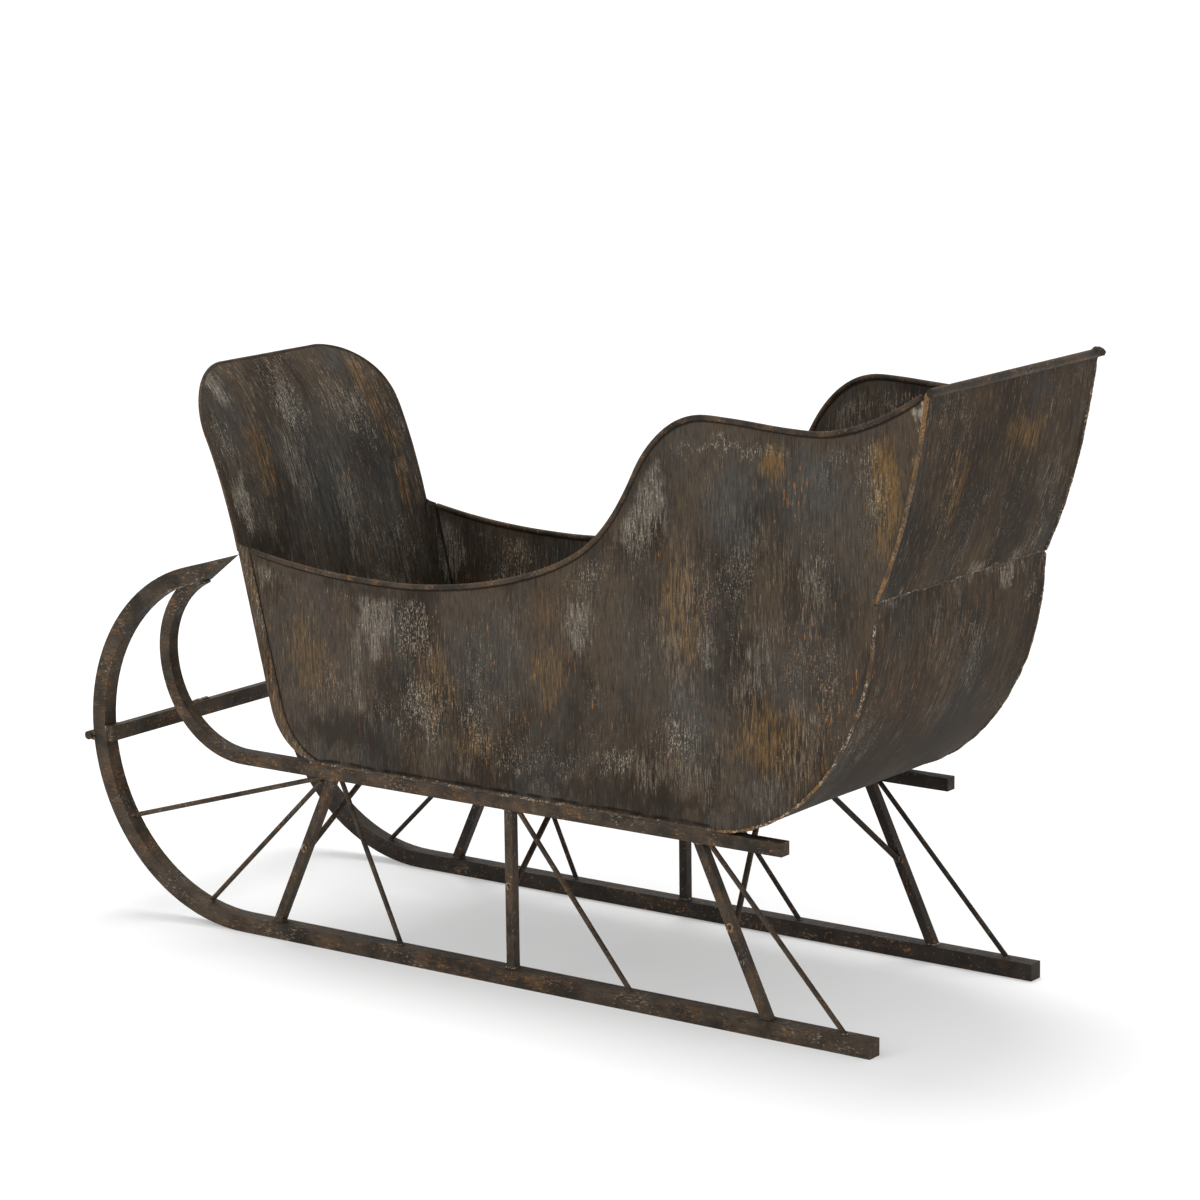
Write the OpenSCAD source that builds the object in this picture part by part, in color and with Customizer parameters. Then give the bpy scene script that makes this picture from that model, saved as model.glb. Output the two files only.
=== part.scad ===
// A small one-seat steel sleigh, as welded up by a smith.
// +Z is up and the front faces -Y, so the driver's left hand is on +X.
// The origin lies on the ground, under the middle of the whole sleigh.

/* [Body] */
// Overall width of the sheet body
body_w = 572; // [420:2:760]
// Length of the flat floor
floor_len = 880; // [700:10:1200]
// Thickness of every body sheet
sheet = 2.5; // [1.5:0.5:5]
// Height of the sides above the floor at the entry
sill_h = 370; // [300:5:440]
// Height of the sides above the floor at the arm rests
arm_h = 739; // [620:5:800]
// Diameter of the bead along the top edge of each side
bead_d = 10; // [6:0.5:14]

/* [Dash] */
// Radius of the bend between floor and dash
dash_bend_r = 125; // [80:5:160]
// Forward lean of the lower dash, in degrees
dash_lean = 13.6; // [5:0.1:20]
// Height of the top of the dash above the floor
dash_h = 719; // [600:5:820]
// Radius of the dash's top corners
dash_corner_r = 150; // [60:5:200]
// How far the dash's rolled-over top reaches beyond its straight part
dash_reach = 157; // [120:1:190]
// Width of the flange that laps over the front edge of each side
flange_w = 27; // [16:1:40]

/* [Back] */
// Overhang of the knuckle behind the floor
knuckle_out = 349; // [260:1:420]
// Height of the knuckle above the floor
knuckle_h = 446; // [380:1:520]
// How far the flared back leans out past the knuckle
flare_out = 101; // [40:1:140]
// Height of the back's top edge above the floor
back_h = 812; // [780:1:900]
// Diameter of the roll along the back's top edge
roll_d = 16; // [10:1:24]

/* [Seat] */
// Height of the seat above the floor
seat_h = 300; // [220:5:360]
// Distance from the floor's rear end forward to the seat's front
seat_front = 110; // [0:5:200]

/* [Rails] */
// Side of the square rail
rail_bar = 25; // [18:1:32]
// Height of the rail's underside above the ground
rail_z = 333; // [260:1:420]
// Distance from the side's outer face in to the rail's centre
rail_inset = 8; // [0:1:14]
// Rail left straight ahead of the floor
rail_lead = 193; // [150:1:240]
// Rail left standing behind the floor
rail_tail = 160; // [60:5:240]
// Outer radius of the lower half of the rail's curl
rail_curl_r = 205; // [150:1:240]

/* [Runners] */
// Side of the square runner
runner_bar = 32; // [24:1:40]
// Runner left straight ahead of the floor
runner_lead = 206; // [170:1:260]
// Runner left standing behind the floor
runner_tail = 343; // [200:5:420]
// Outer radius of the lower half of the runner's curl
curl_low_r = 372; // [330:1:420]
// Outer radius of the upper half of the runner's curl
curl_high_r = 345; // [310:1:372]
// Angle at which the upper curl runs out straight
curl_turn = 74; // [66:1:80]
// Straight nose beyond the curl
nose_len = 121; // [80:1:160]

/* [Posts] */
// Side of the square posts
post_bar = 17.5; // [12:0.5:22]
// Distance from the floor's end in to the top of each leaning post
post_inset = 20; // [0:1:80]
// How far the foot of each leaning post stands beyond its top
post_splay = 142; // [0:1:200]
// Height at which the inner braces leave the posts
brace_z = 188; // [120:1:240]
// How far each brace reaches in from its post
brace_reach = 145; // [80:1:200]
// Diameter of the inner braces
brace_d = 11; // [8:0.5:14]

/* [Stays] */
// Diameter of the round stays
stay_d = 9.5; // [6:0.5:12]
// Height at which the nose stay meets the curl
nose_stay_z = 188; // [120:1:220]
// Distance from the curl's start forward to the foot of the curl stay
curl_stay_y = 91; // [60:1:150]
// How far the foot of the front stay lies behind its top
front_stay_run = 136; // [80:1:200]
// How far the foot of the middle stay lies behind its top
middle_stay_run = 247; // [200:1:300]
// How far the foot of the rear stay lies behind its top
rear_stay_run = 282; // [200:1:330]

/* [Front bars] */
// Height of the flat crossbar
crossbar_h = 30; // [20:1:40]
// Depth of the flat crossbar
crossbar_t = 16; // [8:1:20]
// Height of the crossbar's centre above the ground
crossbar_z = 350; // [250:1:360]
// Diameter of the round draft rod
draft_d = 17; // [12:0.5:22]
// Height of the draft rod's centre above the ground
draft_z = 342; // [250:1:360]
// Length of draft rod left showing past each runner
draft_stub = 8; // [4:1:30]

/* [Hidden] */

$fn = 96;
// Steps in each curved stretch of a sheet's outline
curve_steps = 10;
// Clearance between pieces whose ends are cut to fit round each other
weld_gap = 0.2;
// Length added to a tool so that it cuts clean through
over = 40;

// Colours of the worn sheet and of the darker bars
sheet_colour = [0.33, 0.29, 0.24];
bar_colour = [0.25, 0.22, 0.19];
rust_colour = [0.38, 0.28, 0.19];

// Stations along Y. The floor stands off centre, so that the whole sleigh is centred on the origin.
front_reach = runner_lead + sqrt(pow(curl_low_r + draft_d / 2, 2) - pow(curl_low_r - draft_z, 2))
    + draft_d / 2;
rear_reach = knuckle_out + flare_out + roll_d - sheet;
mid_y = (front_reach - rear_reach) / 2;
front_y = mid_y - floor_len / 2;
rear_y = mid_y + floor_len / 2;
half_w = body_w / 2;

// Heights
rail_top = rail_z + rail_bar;
floor_z = rail_top;
bar_x = half_w - rail_inset;

// Runner curl: two arcs that share their foremost point
curl_y = front_y - runner_lead;
curl_z = curl_low_r;
high_y = curl_y - curl_low_r + curl_high_r;
curl_end_a = 180 - curl_turn;
// The nose's straight top leaves the curl just inside its tangent, so that the two cross
nose_sink = 0.5;
// How far curl and nose run into each other, as an angle and as a length
nose_lap_a = 4;
nose_lap = 10;
nose_dir = [sin(curl_end_a), -cos(curl_end_a)];
curl_end = [high_y, curl_z] + (curl_high_r - nose_sink) * [cos(curl_end_a), sin(curl_end_a)];
nose_tip = curl_end + nose_len * nose_dir;
// The nose is cut off aslant, from its tip back to this point underneath
nose_heel_a = 99.2;
nose_heel = [high_y, curl_z] + (curl_high_r - runner_bar) * [cos(nose_heel_a), sin(nose_heel_a)];

// Rail curl: its upper arc is sized to run into the underside of the runner's curl
rail_curl_y = front_y - rail_lead;
rail_curl_z = rail_z + rail_curl_r;
// How deep the rail's curl would run into the runner's if it were not cut to fit
rail_bite = 28;
rail_high_r = curl_z + curl_high_r - runner_bar - rail_curl_z + rail_bite;
rail_high_y = rail_curl_y - rail_curl_r + rail_high_r;

// Posts: [top y, foot y]
front_post_y = [front_y + post_inset, front_y + post_inset - post_splay];
middle_post_y = [mid_y, mid_y];
rear_post_y = [rear_y - post_inset, rear_y - post_inset + post_splay];
// Half-width of a leaning post, measured along Y
post_half_y = post_bar / 2 * norm([post_splay, rail_z - runner_bar]) / (rail_z - runner_bar);
// Half the length that a slanting stay takes up along the rail
stay_half_y = stay_d * 0.9;

// ---------- paths, as lists of [y, z] ----------

function bezier(a, b, c, d) = [
    for (i = [0 : curve_steps])
        let (t = i / curve_steps, u = 1 - t)
            u * u * u * a + 3 * u * u * t * b + 3 * u * t * t * c + t * t * t * d
];

function arc(centre, r, a0, a1) = [
    for (i = [0 : curve_steps])
        centre + r * [cos(a0 + (a1 - a0) * i / curve_steps), sin(a0 + (a1 - a0) * i / curve_steps)]
];

function unit(v) = v / norm(v);
function tail(p) = [for (i = [1 : len(p) - 1]) p[i]];
function reversed(p) = [for (i = [len(p) - 1 : -1 : 0]) p[i]];
function left_of(v) = [-v.y, v.x];

// Direction of a path as it reaches and as it leaves one of its points
function arriving(p, i) = unit(p[max(i, 1)] - p[max(i, 1) - 1]);
function leaving(p, i) = unit(p[min(i, len(p) - 2) + 1] - p[min(i, len(p) - 2)]);
function heading(p, i) = unit(arriving(p, i) + leaving(p, i));

// The same path moved to its left by d, with mitred corners
function beside(p, d) = [
    for (i = [0 : len(p) - 1])
        let (n = left_of(heading(p, i)))
            p[i] + d / (n * left_of(arriving(p, i))) * n
];

// Outer face of the dash, from the floor up to the straight part's end
dash_dir = [-sin(dash_lean), cos(dash_lean)];
dash_bend = arc([front_y, floor_z + dash_bend_r], dash_bend_r, 270, 180 + dash_lean);
dash_knee = dash_bend[curve_steps];
// How much higher the sides stand against the dash than at the entry
sill_rise = 31;
dash_straight_h = sill_h + sill_rise;
dash_shoulder = dash_knee + dash_dir * (floor_z + dash_straight_h - dash_knee.y) / dash_dir.y;
dash_top = dash_shoulder + [-dash_reach, dash_h - dash_straight_h];
// Pulls that shape the dash's rolled-over top, at its foot and at its edge
dash_foot_pull = 88 * dash_dir;
dash_edge_pull = [80, -49];
dash_curve = bezier(dash_shoulder, dash_shoulder + dash_foot_pull, dash_top + dash_edge_pull, dash_top);
dash_path = concat(dash_bend, dash_curve);

// Outer face of the back, from the floor up to the knuckle, then to the top edge
knuckle = [rear_y + knuckle_out, floor_z + knuckle_h];
back_top = [knuckle.x + flare_out, floor_z + back_h];
// Pulls that shape the back, in order from the floor up
back_pulls = [[200, 0], [0, 244], [46, 91], [22, 155]];
back_low_path = bezier([rear_y, floor_z], [rear_y, floor_z] + back_pulls[0], knuckle - back_pulls[1], knuckle);
back_high_path = bezier(knuckle, knuckle + back_pulls[2], back_top - back_pulls[3], back_top);

// Outer face of the whole body, from the dash's top down, along and up to the back's top edge.
// The floor is its one long straight step, and the sheets meet at mitred joints.
wrap = concat(reversed(dash_path), back_low_path, tail(back_high_path));
wrap_inside = beside(wrap, sheet);
dash_last = len(dash_path) - 1;
floor_last = dash_last + 1;
knuckle_at = floor_last + curve_steps;

// Centre line of the bead along each side's top edge, front to rear.
// Each station is a point, the curve's pull ahead of it and its pull behind it.
bead_r = bead_d / 2;
sill_z = floor_z + sill_h - bead_r;
arm_z = floor_z + arm_h - bead_r;
bead_drop = 2;
bead_stations = [
    [[dash_shoulder.x + flange_w / cos(dash_lean) + bead_r, dash_shoulder.y - bead_r - bead_drop],
     [0, 0], [112, -21]],
    [[front_y + 170, sill_z], [120, 0], [160, 0]],
    [[rear_y - 234, sill_z + 133], [90, 90], [34, 34]],
    [[rear_y - 152, arm_z - 117], [24, 48], [30, 60]],
    [[rear_y + 3, arm_z], [73, 0], [67, 0]],
    [[rear_y + 210, arm_z - 10], [65, 0], [75, -2]],
    [[back_top.x - roll_d / 2 - bead_r, back_top.y - roll_d / 2], [73, 48], [0, 0]]
];
bead_path = [
    for (i = [0 : len(bead_stations) - 2])
        let (a = bead_stations[i], b = bead_stations[i + 1],
             stretch = bezier(a[0], a[0] + a[2], b[0] - b[1], b[0]))
            each (i == 0 ? stretch : tail(stretch))
];

// ---------- shared shapes ----------

// A flat shape drawn as [y, z], standing between two stations along X
module slab(x0, x1) {
    translate([x0, 0, 0])
        rotate([90, 0, 90])
            linear_extrude(x1 - x0)
                children();
}

// The same on the left, or mirrored over to the right
module on_side(side) {
    if (side == "left") children();
    else mirror([1, 0, 0]) children();
}

// One sheet of the body, from one point of the wrap to another
module wrap_2d(first, last) {
    polygon(concat([for (i = [first : last]) wrap[i]], [for (i = [last : -1 : first]) wrap_inside[i]]));
}

// Part of a disc, from one angle to another, less than half a turn apart
module sector(r, a0, a1) {
    intersection() {
        circle(r);
        polygon([[0, 0], 2 * r * [cos(a0), sin(a0)],
                 2 * r * [cos((a0 + a1) / 2), sin((a0 + a1) / 2)], 2 * r * [cos(a1), sin(a1)]]);
    }
}

// Part of a ring of the given thickness
module ring_part(r, t, a0, a1) {
    difference() {
        sector(r, a0, a1);
        circle(r - t);
    }
}

// Space between runner and rail, from the curl back to the runner's end
module bay_2d() {
    intersection() {
        union() {
            translate([curl_y, curl_z]) circle(curl_low_r - runner_bar);
            translate([curl_y, runner_bar]) square([rear_y + runner_tail - curl_y, rail_z]);
        }
        translate([curl_y - curl_low_r, 0])
            square([rear_y + runner_tail - curl_y + curl_low_r, rail_z]);
    }
}

// Round bar from one [x, y, z] to another, a little overlong at both ends
module round_bar(from, to, d) {
    v = to - from;
    e = v / norm(v) * over;
    translate(from - e)
        rotate([0, acos(v.z / norm(v)), atan2(v.y, v.x)])
            cylinder(d = d, h = norm(v) + 2 * over);
}

// ---------- runners and rails ----------

module runner_2d() {
    high = [high_y, curl_z];
    translate([curl_y, 0]) square([rear_y + runner_tail - curl_y, runner_bar]);
    translate([curl_y, curl_z]) ring_part(curl_low_r, runner_bar, 180, 270);
    translate(high)
        difference() {
            union() {
                sector(curl_high_r, curl_end_a - nose_lap_a, 180);
                polygon([[0, 0], nose_heel - high, nose_tip - high, curl_end - nose_lap * nose_dir - high]);
            }
            circle(curl_high_r - runner_bar);
        }
}

module runner(side) {
    color(bar_colour)
        on_side(side)
            slab(bar_x - runner_bar / 2, bar_x + runner_bar / 2)
                runner_2d();
}

module rail_2d() {
    translate([rail_curl_y, rail_z]) square([rear_y + rail_tail - rail_curl_y, rail_bar]);
    translate([rail_curl_y, rail_curl_z]) ring_part(rail_curl_r, rail_bar, 180, 270);
    intersection() {
        translate([rail_high_y, rail_curl_z]) ring_part(rail_high_r, rail_bar, 90, 180);
        translate([high_y, curl_z]) circle(curl_high_r - runner_bar);
        // Everything ahead of the heel of the nose
        translate([nose_heel.x - curl_high_r, rail_z]) square([curl_high_r, 2 * curl_low_r]);
    }
}

module rail(side) {
    color(bar_colour)
        on_side(side)
            slab(bar_x - rail_bar / 2, bar_x + rail_bar / 2)
                rail_2d();
}

// ---------- posts, stays and braces ----------

module post(side, y) {
    lean = atan2(y[1] - y[0], rail_z - runner_bar);
    half = post_bar / 2 / cos(lean);
    color(bar_colour)
        on_side(side)
            slab(bar_x - post_bar / 2, bar_x + post_bar / 2)
                polygon([[y[1] - half, runner_bar], [y[1] + half, runner_bar],
                         [y[0] + half, rail_z], [y[0] - half, rail_z]]);
}

// A stay in the plane of the posts, cut to fit between runner and rail
module stay_body(top, foot) {
    intersection() {
        round_bar([bar_x, top.x, top.y], [bar_x, foot.x, foot.y], stay_d);
        slab(bar_x - stay_d, bar_x + stay_d) bay_2d();
    }
}

module stay(side, top, foot) {
    color(rust_colour) on_side(side) stay_body(top, foot);
}

// Room left between a leaning post and the top of the stay behind it
stay_slack = 1.5;

// The nose stay tucks into the corner between rail and front post
nose_stay_top = [front_post_y[0] - post_half_y - stay_d, rail_z];
nose_stay_foot = [curl_y - sqrt(pow(curl_low_r - runner_bar, 2) - pow(curl_z - nose_stay_z, 2)), nose_stay_z];
curl_stay_top = nose_stay_top - [stay_half_y, stay_d];
curl_stay_foot = [curl_y - curl_stay_y,
                  curl_z - sqrt(pow(curl_low_r - runner_bar, 2) - pow(curl_stay_y, 2))];

module nose_stay(side) {
    color(rust_colour)
        on_side(side)
            difference() {
                stay_body(nose_stay_top, nose_stay_foot);
                front_post_cutter();
            }
}

// Front post with the welding gap round it, for cutting stays to length
module front_post_cutter() {
    slab(bar_x - post_bar, bar_x + post_bar)
        polygon([[front_post_y[1] - post_half_y - weld_gap, runner_bar],
                 [front_post_y[1] + post_half_y, runner_bar],
                 [front_post_y[0] + post_half_y, rail_z],
                 [front_post_y[0] - post_half_y - weld_gap, rail_z]]);
}

module curl_stay(side) {
    color(rust_colour)
        on_side(side)
            difference() {
                stay_body(curl_stay_top, curl_stay_foot);
                round_bar([bar_x, nose_stay_top.x, nose_stay_top.y],
                          [bar_x, nose_stay_foot.x, nose_stay_foot.y], stay_d + 2 * weld_gap);
                slab(0, body_w) translate([nose_stay_top.x - stay_d, rail_z - stay_d]) square(over);
                front_post_cutter();
            }
}

// The front, middle and rear stays each run from behind a post's top back to the runner
module trailing_stay(side, post_y, run) {
    half_post = post_y[0] == post_y[1] ? post_bar / 2 : post_half_y + stay_slack;
    top = [post_y[0] + half_post + stay_half_y, rail_z];
    stay(side, top, [top.x + run, runner_bar]);
}

// A brace from the inner face of a post up and in to the crossbeam above
module brace(side, y) {
    post_y = y[0] + (y[1] - y[0]) * (rail_z - brace_z) / (rail_z - runner_bar);
    foot = [bar_x - post_bar / 2, post_y, brace_z];
    top = [bar_x - post_bar / 2 - brace_reach, beam_y(y), rail_z];
    color(rust_colour)
        on_side(side)
            intersection() {
                round_bar(foot, top, brace_d);
                translate([0, -floor_len, 0]) cube([foot.x, 2 * floor_len, rail_z]);
            }
}

// Crossbeams stand just beyond the post tops, away from the middle
function beam_y(y) = y[0] + sign(y[0] - mid_y) * post_bar;

module crossbeam(y) {
    color(bar_colour)
        translate([-(bar_x - rail_bar / 2), beam_y(y) - rail_bar / 2, rail_z])
            cube([2 * bar_x - rail_bar, rail_bar, rail_bar]);
}

// ---------- bars across the front ----------

// The crossbar lies against the rear of both curls
module crossbar() {
    low = crossbar_z - crossbar_h / 2;
    y = curl_y - sqrt(pow(curl_low_r - runner_bar, 2) - pow(curl_z - low, 2));
    color(bar_colour)
        translate([-bar_x - runner_bar / 2, y, low])
            cube([2 * bar_x + runner_bar, crossbar_t, crossbar_h]);
}

// The draft rod lies against the front of both curls and stands out past them
module draft_rod() {
    y = curl_y - sqrt(pow(curl_low_r + draft_d / 2, 2) - pow(curl_z - draft_z, 2));
    len = 2 * bar_x + runner_bar + 2 * draft_stub;
    color(rust_colour)
        translate([-len / 2, y, draft_z])
            rotate([0, 90, 0])
                cylinder(d = draft_d, h = len);
}

// ---------- sheet body ----------

module floor_panel() {
    color(sheet_colour)
        slab(-half_w, half_w)
            wrap_2d(dash_last, floor_last);
}

// The top corners are rounded less high than wide
dash_corner_h = dash_corner_r * 0.78;

// Outline of the dash seen from ahead, with its rounded top corners
module dash_front_2d() {
    corner = [for (i = [0 : curve_steps])
        [half_w - dash_corner_r + dash_corner_r * cos(90 * i / curve_steps),
         dash_top.y - dash_corner_h + dash_corner_h * sin(90 * i / curve_steps)]];
    polygon(concat([[-half_w, floor_z - sheet], [half_w, floor_z - sheet]], corner,
                   [for (p = reversed(corner)) [-p.x, p.y]]));
}

module dash_panel() {
    color(sheet_colour)
        intersection() {
            slab(-half_w, half_w) wrap_2d(0, dash_last);
            translate([0, dash_top.x - over, 0])
                rotate([90, 0, 0])
                    mirror([0, 0, 1])
                        linear_extrude(floor_len)
                            dash_front_2d();
        }
}

// Above the side the flange is narrower, and it runs out where the dash's corner begins to round
flange_high_w = flange_w * 0.45;
flange_tip_w = 1;

module dash_flange(side) {
    taper_z = dash_top.y - dash_corner_h;
    path = [for (p = dash_path) if (p.y < taper_z) p];
    inner = [for (i = [0 : len(path) - 1])
        let (share = (taper_z - path[i].y) / (taper_z - dash_shoulder.y),
             w = share > 0.99 ? flange_w : max(flange_tip_w, flange_high_w * share))
            path[i] - w * left_of(heading(path, i))];
    color(sheet_colour)
        on_side(side)
            slab(half_w, half_w + sheet)
                polygon(concat(path, reversed(inner)));
}

// Inside of the body seen from the side, as far up as the beads
module side_2d() {
    lid = beside(bead_path, -bead_r * cos(180 / bead_sides));
    front = [for (i = [0 : dash_last]) if (wrap_inside[i].y < lid[0].y) wrap_inside[i]];
    back = [for (i = [floor_last : len(wrap) - 1])
        if (wrap_inside[i].y < lid[len(lid) - 1].y) wrap_inside[i]];
    polygon(concat(front, back, reversed(lid)));
}

module side_panel(side) {
    color(sheet_colour)
        on_side(side)
            slab(half_w - sheet, half_w)
                side_2d();
}

// Sides of the bead's cross-section
bead_sides = 12;

// The bead is swept along the side's top edge
module side_bead(side) {
    n = len(bead_path);
    x = half_w - sheet / 2;
    rings = [for (i = [0 : n - 1])
        let (out = left_of(heading(bead_path, i)))
            for (k = [0 : bead_sides - 1])
                let (a = 360 * (k + 0.5) / bead_sides,
                     p = bead_path[i] + bead_r * sin(a) * out)
                    [x + bead_r * cos(a), p.x, p.y]];
    walls = [for (i = [0 : n - 2], k = [0 : bead_sides - 1])
        let (a = i * bead_sides + k, b = i * bead_sides + (k + 1) % bead_sides)
            [a, b, b + bead_sides, a + bead_sides]];
    color(rust_colour)
        on_side(side)
            polyhedron(rings, concat(walls, [
                [for (k = [bead_sides - 1 : -1 : 0]) k],
                [for (k = [0 : bead_sides - 1]) (n - 1) * bead_sides + k]]));
}

module back_lower_panel() {
    color(sheet_colour)
        slab(-half_w, half_w)
            wrap_2d(floor_last, knuckle_at);
}

// Centre of the roll, just behind the top edge
roll_c = back_top + [roll_d / 2 - sheet, 0];

module back_upper_panel() {
    color(sheet_colour)
        slab(-half_w, half_w)
            difference() {
                wrap_2d(knuckle_at, len(wrap) - 1);
                translate(roll_c) circle(roll_d / 2);
            }
}

module back_top_roll() {
    color(rust_colour)
        slab(-half_w, half_w)
            translate(roll_c) circle(roll_d / 2);
}

// ---------- seat ----------

seat_y = rear_y - seat_front;

module seat_pan() {
    color(sheet_colour)
        slab(-half_w + sheet, half_w - sheet)
            intersection() {
                translate([seat_y, floor_z + seat_h]) square([knuckle_out + seat_front, sheet]);
                side_2d();
            }
}

module seat_riser() {
    color(sheet_colour)
        translate([-half_w + sheet, seat_y, floor_z + sheet])
            cube([body_w - 2 * sheet, sheet, seat_h - sheet]);
}

// ---------- assembly ----------

runner("left");  // runner_left
runner("right");  // runner_right
rail("left");  // rail_left
rail("right");  // rail_right
post("left", front_post_y);  // front_post_left
post("right", front_post_y);  // front_post_right
post("left", middle_post_y);  // middle_post_left
post("right", middle_post_y);  // middle_post_right
post("left", rear_post_y);  // rear_post_left
post("right", rear_post_y);  // rear_post_right
nose_stay("left");  // nose_stay_left
nose_stay("right");  // nose_stay_right
curl_stay("left");  // curl_stay_left
curl_stay("right");  // curl_stay_right
trailing_stay("left", front_post_y, front_stay_run);  // front_stay_left
trailing_stay("right", front_post_y, front_stay_run);  // front_stay_right
trailing_stay("left", middle_post_y, middle_stay_run);  // middle_stay_left
trailing_stay("right", middle_post_y, middle_stay_run);  // middle_stay_right
trailing_stay("left", rear_post_y, rear_stay_run);  // rear_stay_left
trailing_stay("right", rear_post_y, rear_stay_run);  // rear_stay_right
brace("left", front_post_y);  // front_brace_left
brace("right", front_post_y);  // front_brace_right
brace("left", middle_post_y);  // middle_brace_left
brace("right", middle_post_y);  // middle_brace_right
brace("left", rear_post_y);  // rear_brace_left
brace("right", rear_post_y);  // rear_brace_right
crossbeam(front_post_y);  // front_crossbeam
crossbeam(middle_post_y);  // middle_crossbeam
crossbeam(rear_post_y);  // rear_crossbeam
crossbar();
draft_rod();
floor_panel();
dash_panel();
dash_flange("left");  // dash_flange_left
dash_flange("right");  // dash_flange_right
side_panel("left");  // side_panel_left
side_panel("right");  // side_panel_right
side_bead("left");  // side_bead_left
side_bead("right");  // side_bead_right
back_lower_panel();
back_upper_panel();
back_top_roll();
seat_pan();
seat_riser();
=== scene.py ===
"""A small one-seat steel sleigh: its finishes, worked sheets, seams, welds and studio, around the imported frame.

Units are metres, apart from weld sizes in millimetres. +Z is up, the front faces -Y, and +X is on the driver's left.
"""

import logging
import math
from dataclasses import dataclass, field
from enum import Enum
from functools import cached_property
from typing import Callable, Iterable, Sequence

import bmesh
import bpy
from mathutils import Matrix, Vector, noise


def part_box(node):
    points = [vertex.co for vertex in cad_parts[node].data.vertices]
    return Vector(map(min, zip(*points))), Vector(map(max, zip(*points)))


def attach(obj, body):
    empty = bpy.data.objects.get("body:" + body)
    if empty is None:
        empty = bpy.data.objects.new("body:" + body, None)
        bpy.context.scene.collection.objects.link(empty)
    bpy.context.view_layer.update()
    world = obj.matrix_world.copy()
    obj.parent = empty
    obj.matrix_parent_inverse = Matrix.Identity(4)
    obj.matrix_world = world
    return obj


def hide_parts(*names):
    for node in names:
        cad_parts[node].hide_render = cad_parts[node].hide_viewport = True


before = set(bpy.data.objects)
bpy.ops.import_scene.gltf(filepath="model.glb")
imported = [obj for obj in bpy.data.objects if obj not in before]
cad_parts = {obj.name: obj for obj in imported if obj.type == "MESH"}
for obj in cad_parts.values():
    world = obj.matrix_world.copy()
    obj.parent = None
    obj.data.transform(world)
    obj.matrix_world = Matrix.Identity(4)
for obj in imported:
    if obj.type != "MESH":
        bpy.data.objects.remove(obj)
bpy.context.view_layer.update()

BODY = "root"
MM = 0.001

log = logging.getLogger("sleigh")

Point = tuple[float, float]
Colour = tuple[float, float, float]
Socket = bpy.types.NodeSocket
Value = Socket | float
Finish = bpy.types.Material
BMesh = bmesh.types.BMesh
Radius = Callable[[float, float], float]


class Side(Enum):
    """A side of the sleigh, as the sign of X."""

    LEFT = 1
    RIGHT = -1

    @property
    def label(self) -> str:
        """The side's name, as it stands in the names of pieces."""
        return self.name.lower()


class Slot(Enum):
    """The record's material slots."""

    SHEET = "sheet_steel"
    BAR = "bar_steel"
    ROUND = "round_steel"


# ---------------------------------------------------------------- outlines


def bezier(a: Point, b: Point, c: Point, d: Point, steps: int = 32) -> list[Point]:
    """Points along a cubic curve.

    Args:
        a: Where it starts.
        b: The point that it leaves towards.
        c: The point that it arrives from.
        d: Where it ends.
        steps: Stretches that it is divided into.

    Returns:
        steps + 1 points, both ends among them.
    """
    points = []
    for i in range(steps + 1):
        t, u = i / steps, 1 - i / steps
        weights = (u**3, 3 * u * u * t, 3 * u * t * t, t**3)
        points.append(tuple(sum(w * p[k] for w, p in zip(weights, (a, b, c, d))) for k in (0, 1)))
    return points


def arc(centre: Point, radius: float, first: float, last: float, steps: int = 24) -> list[Point]:
    """Points along an arc.

    Args:
        centre: Its centre, as (y, z).
        radius: Its radius.
        first: The angle at which it starts, in degrees from +Y towards +Z.
        last: The angle at which it ends.
        steps: Stretches that it is divided into.

    Returns:
        steps + 1 points, both ends among them.
    """
    turns = [math.radians(first + (last - first) * i / steps) for i in range(steps + 1)]
    return [(centre[0] + radius * math.cos(t), centre[1] + radius * math.sin(t)) for t in turns]


def ring(centre: Vector, across: Sequence[float], up: Sequence[float], count: int) -> list[Vector]:
    """Points round an ellipse, from its middle and its two half-axes in millimetres."""
    turns = [2 * math.pi * i / count for i in range(count)]
    return [centre + MM * (math.cos(t) * Vector(across) + math.sin(t) * Vector(up)) for t in turns]


def straight(a: Vector, b: Vector, steps: int) -> list[Vector]:
    """Even points along a line, both ends among them."""
    return [a.lerp(b, i / steps) for i in range(steps + 1)]


def walk(first: float, last: float, pitch: float) -> list[float]:
    """Evenly spaced distances along an outline, both ends among them."""
    count = max(2, round(abs(last - first) / pitch))
    return [first + (last - first) * i / count for i in range(count + 1)]


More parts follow.
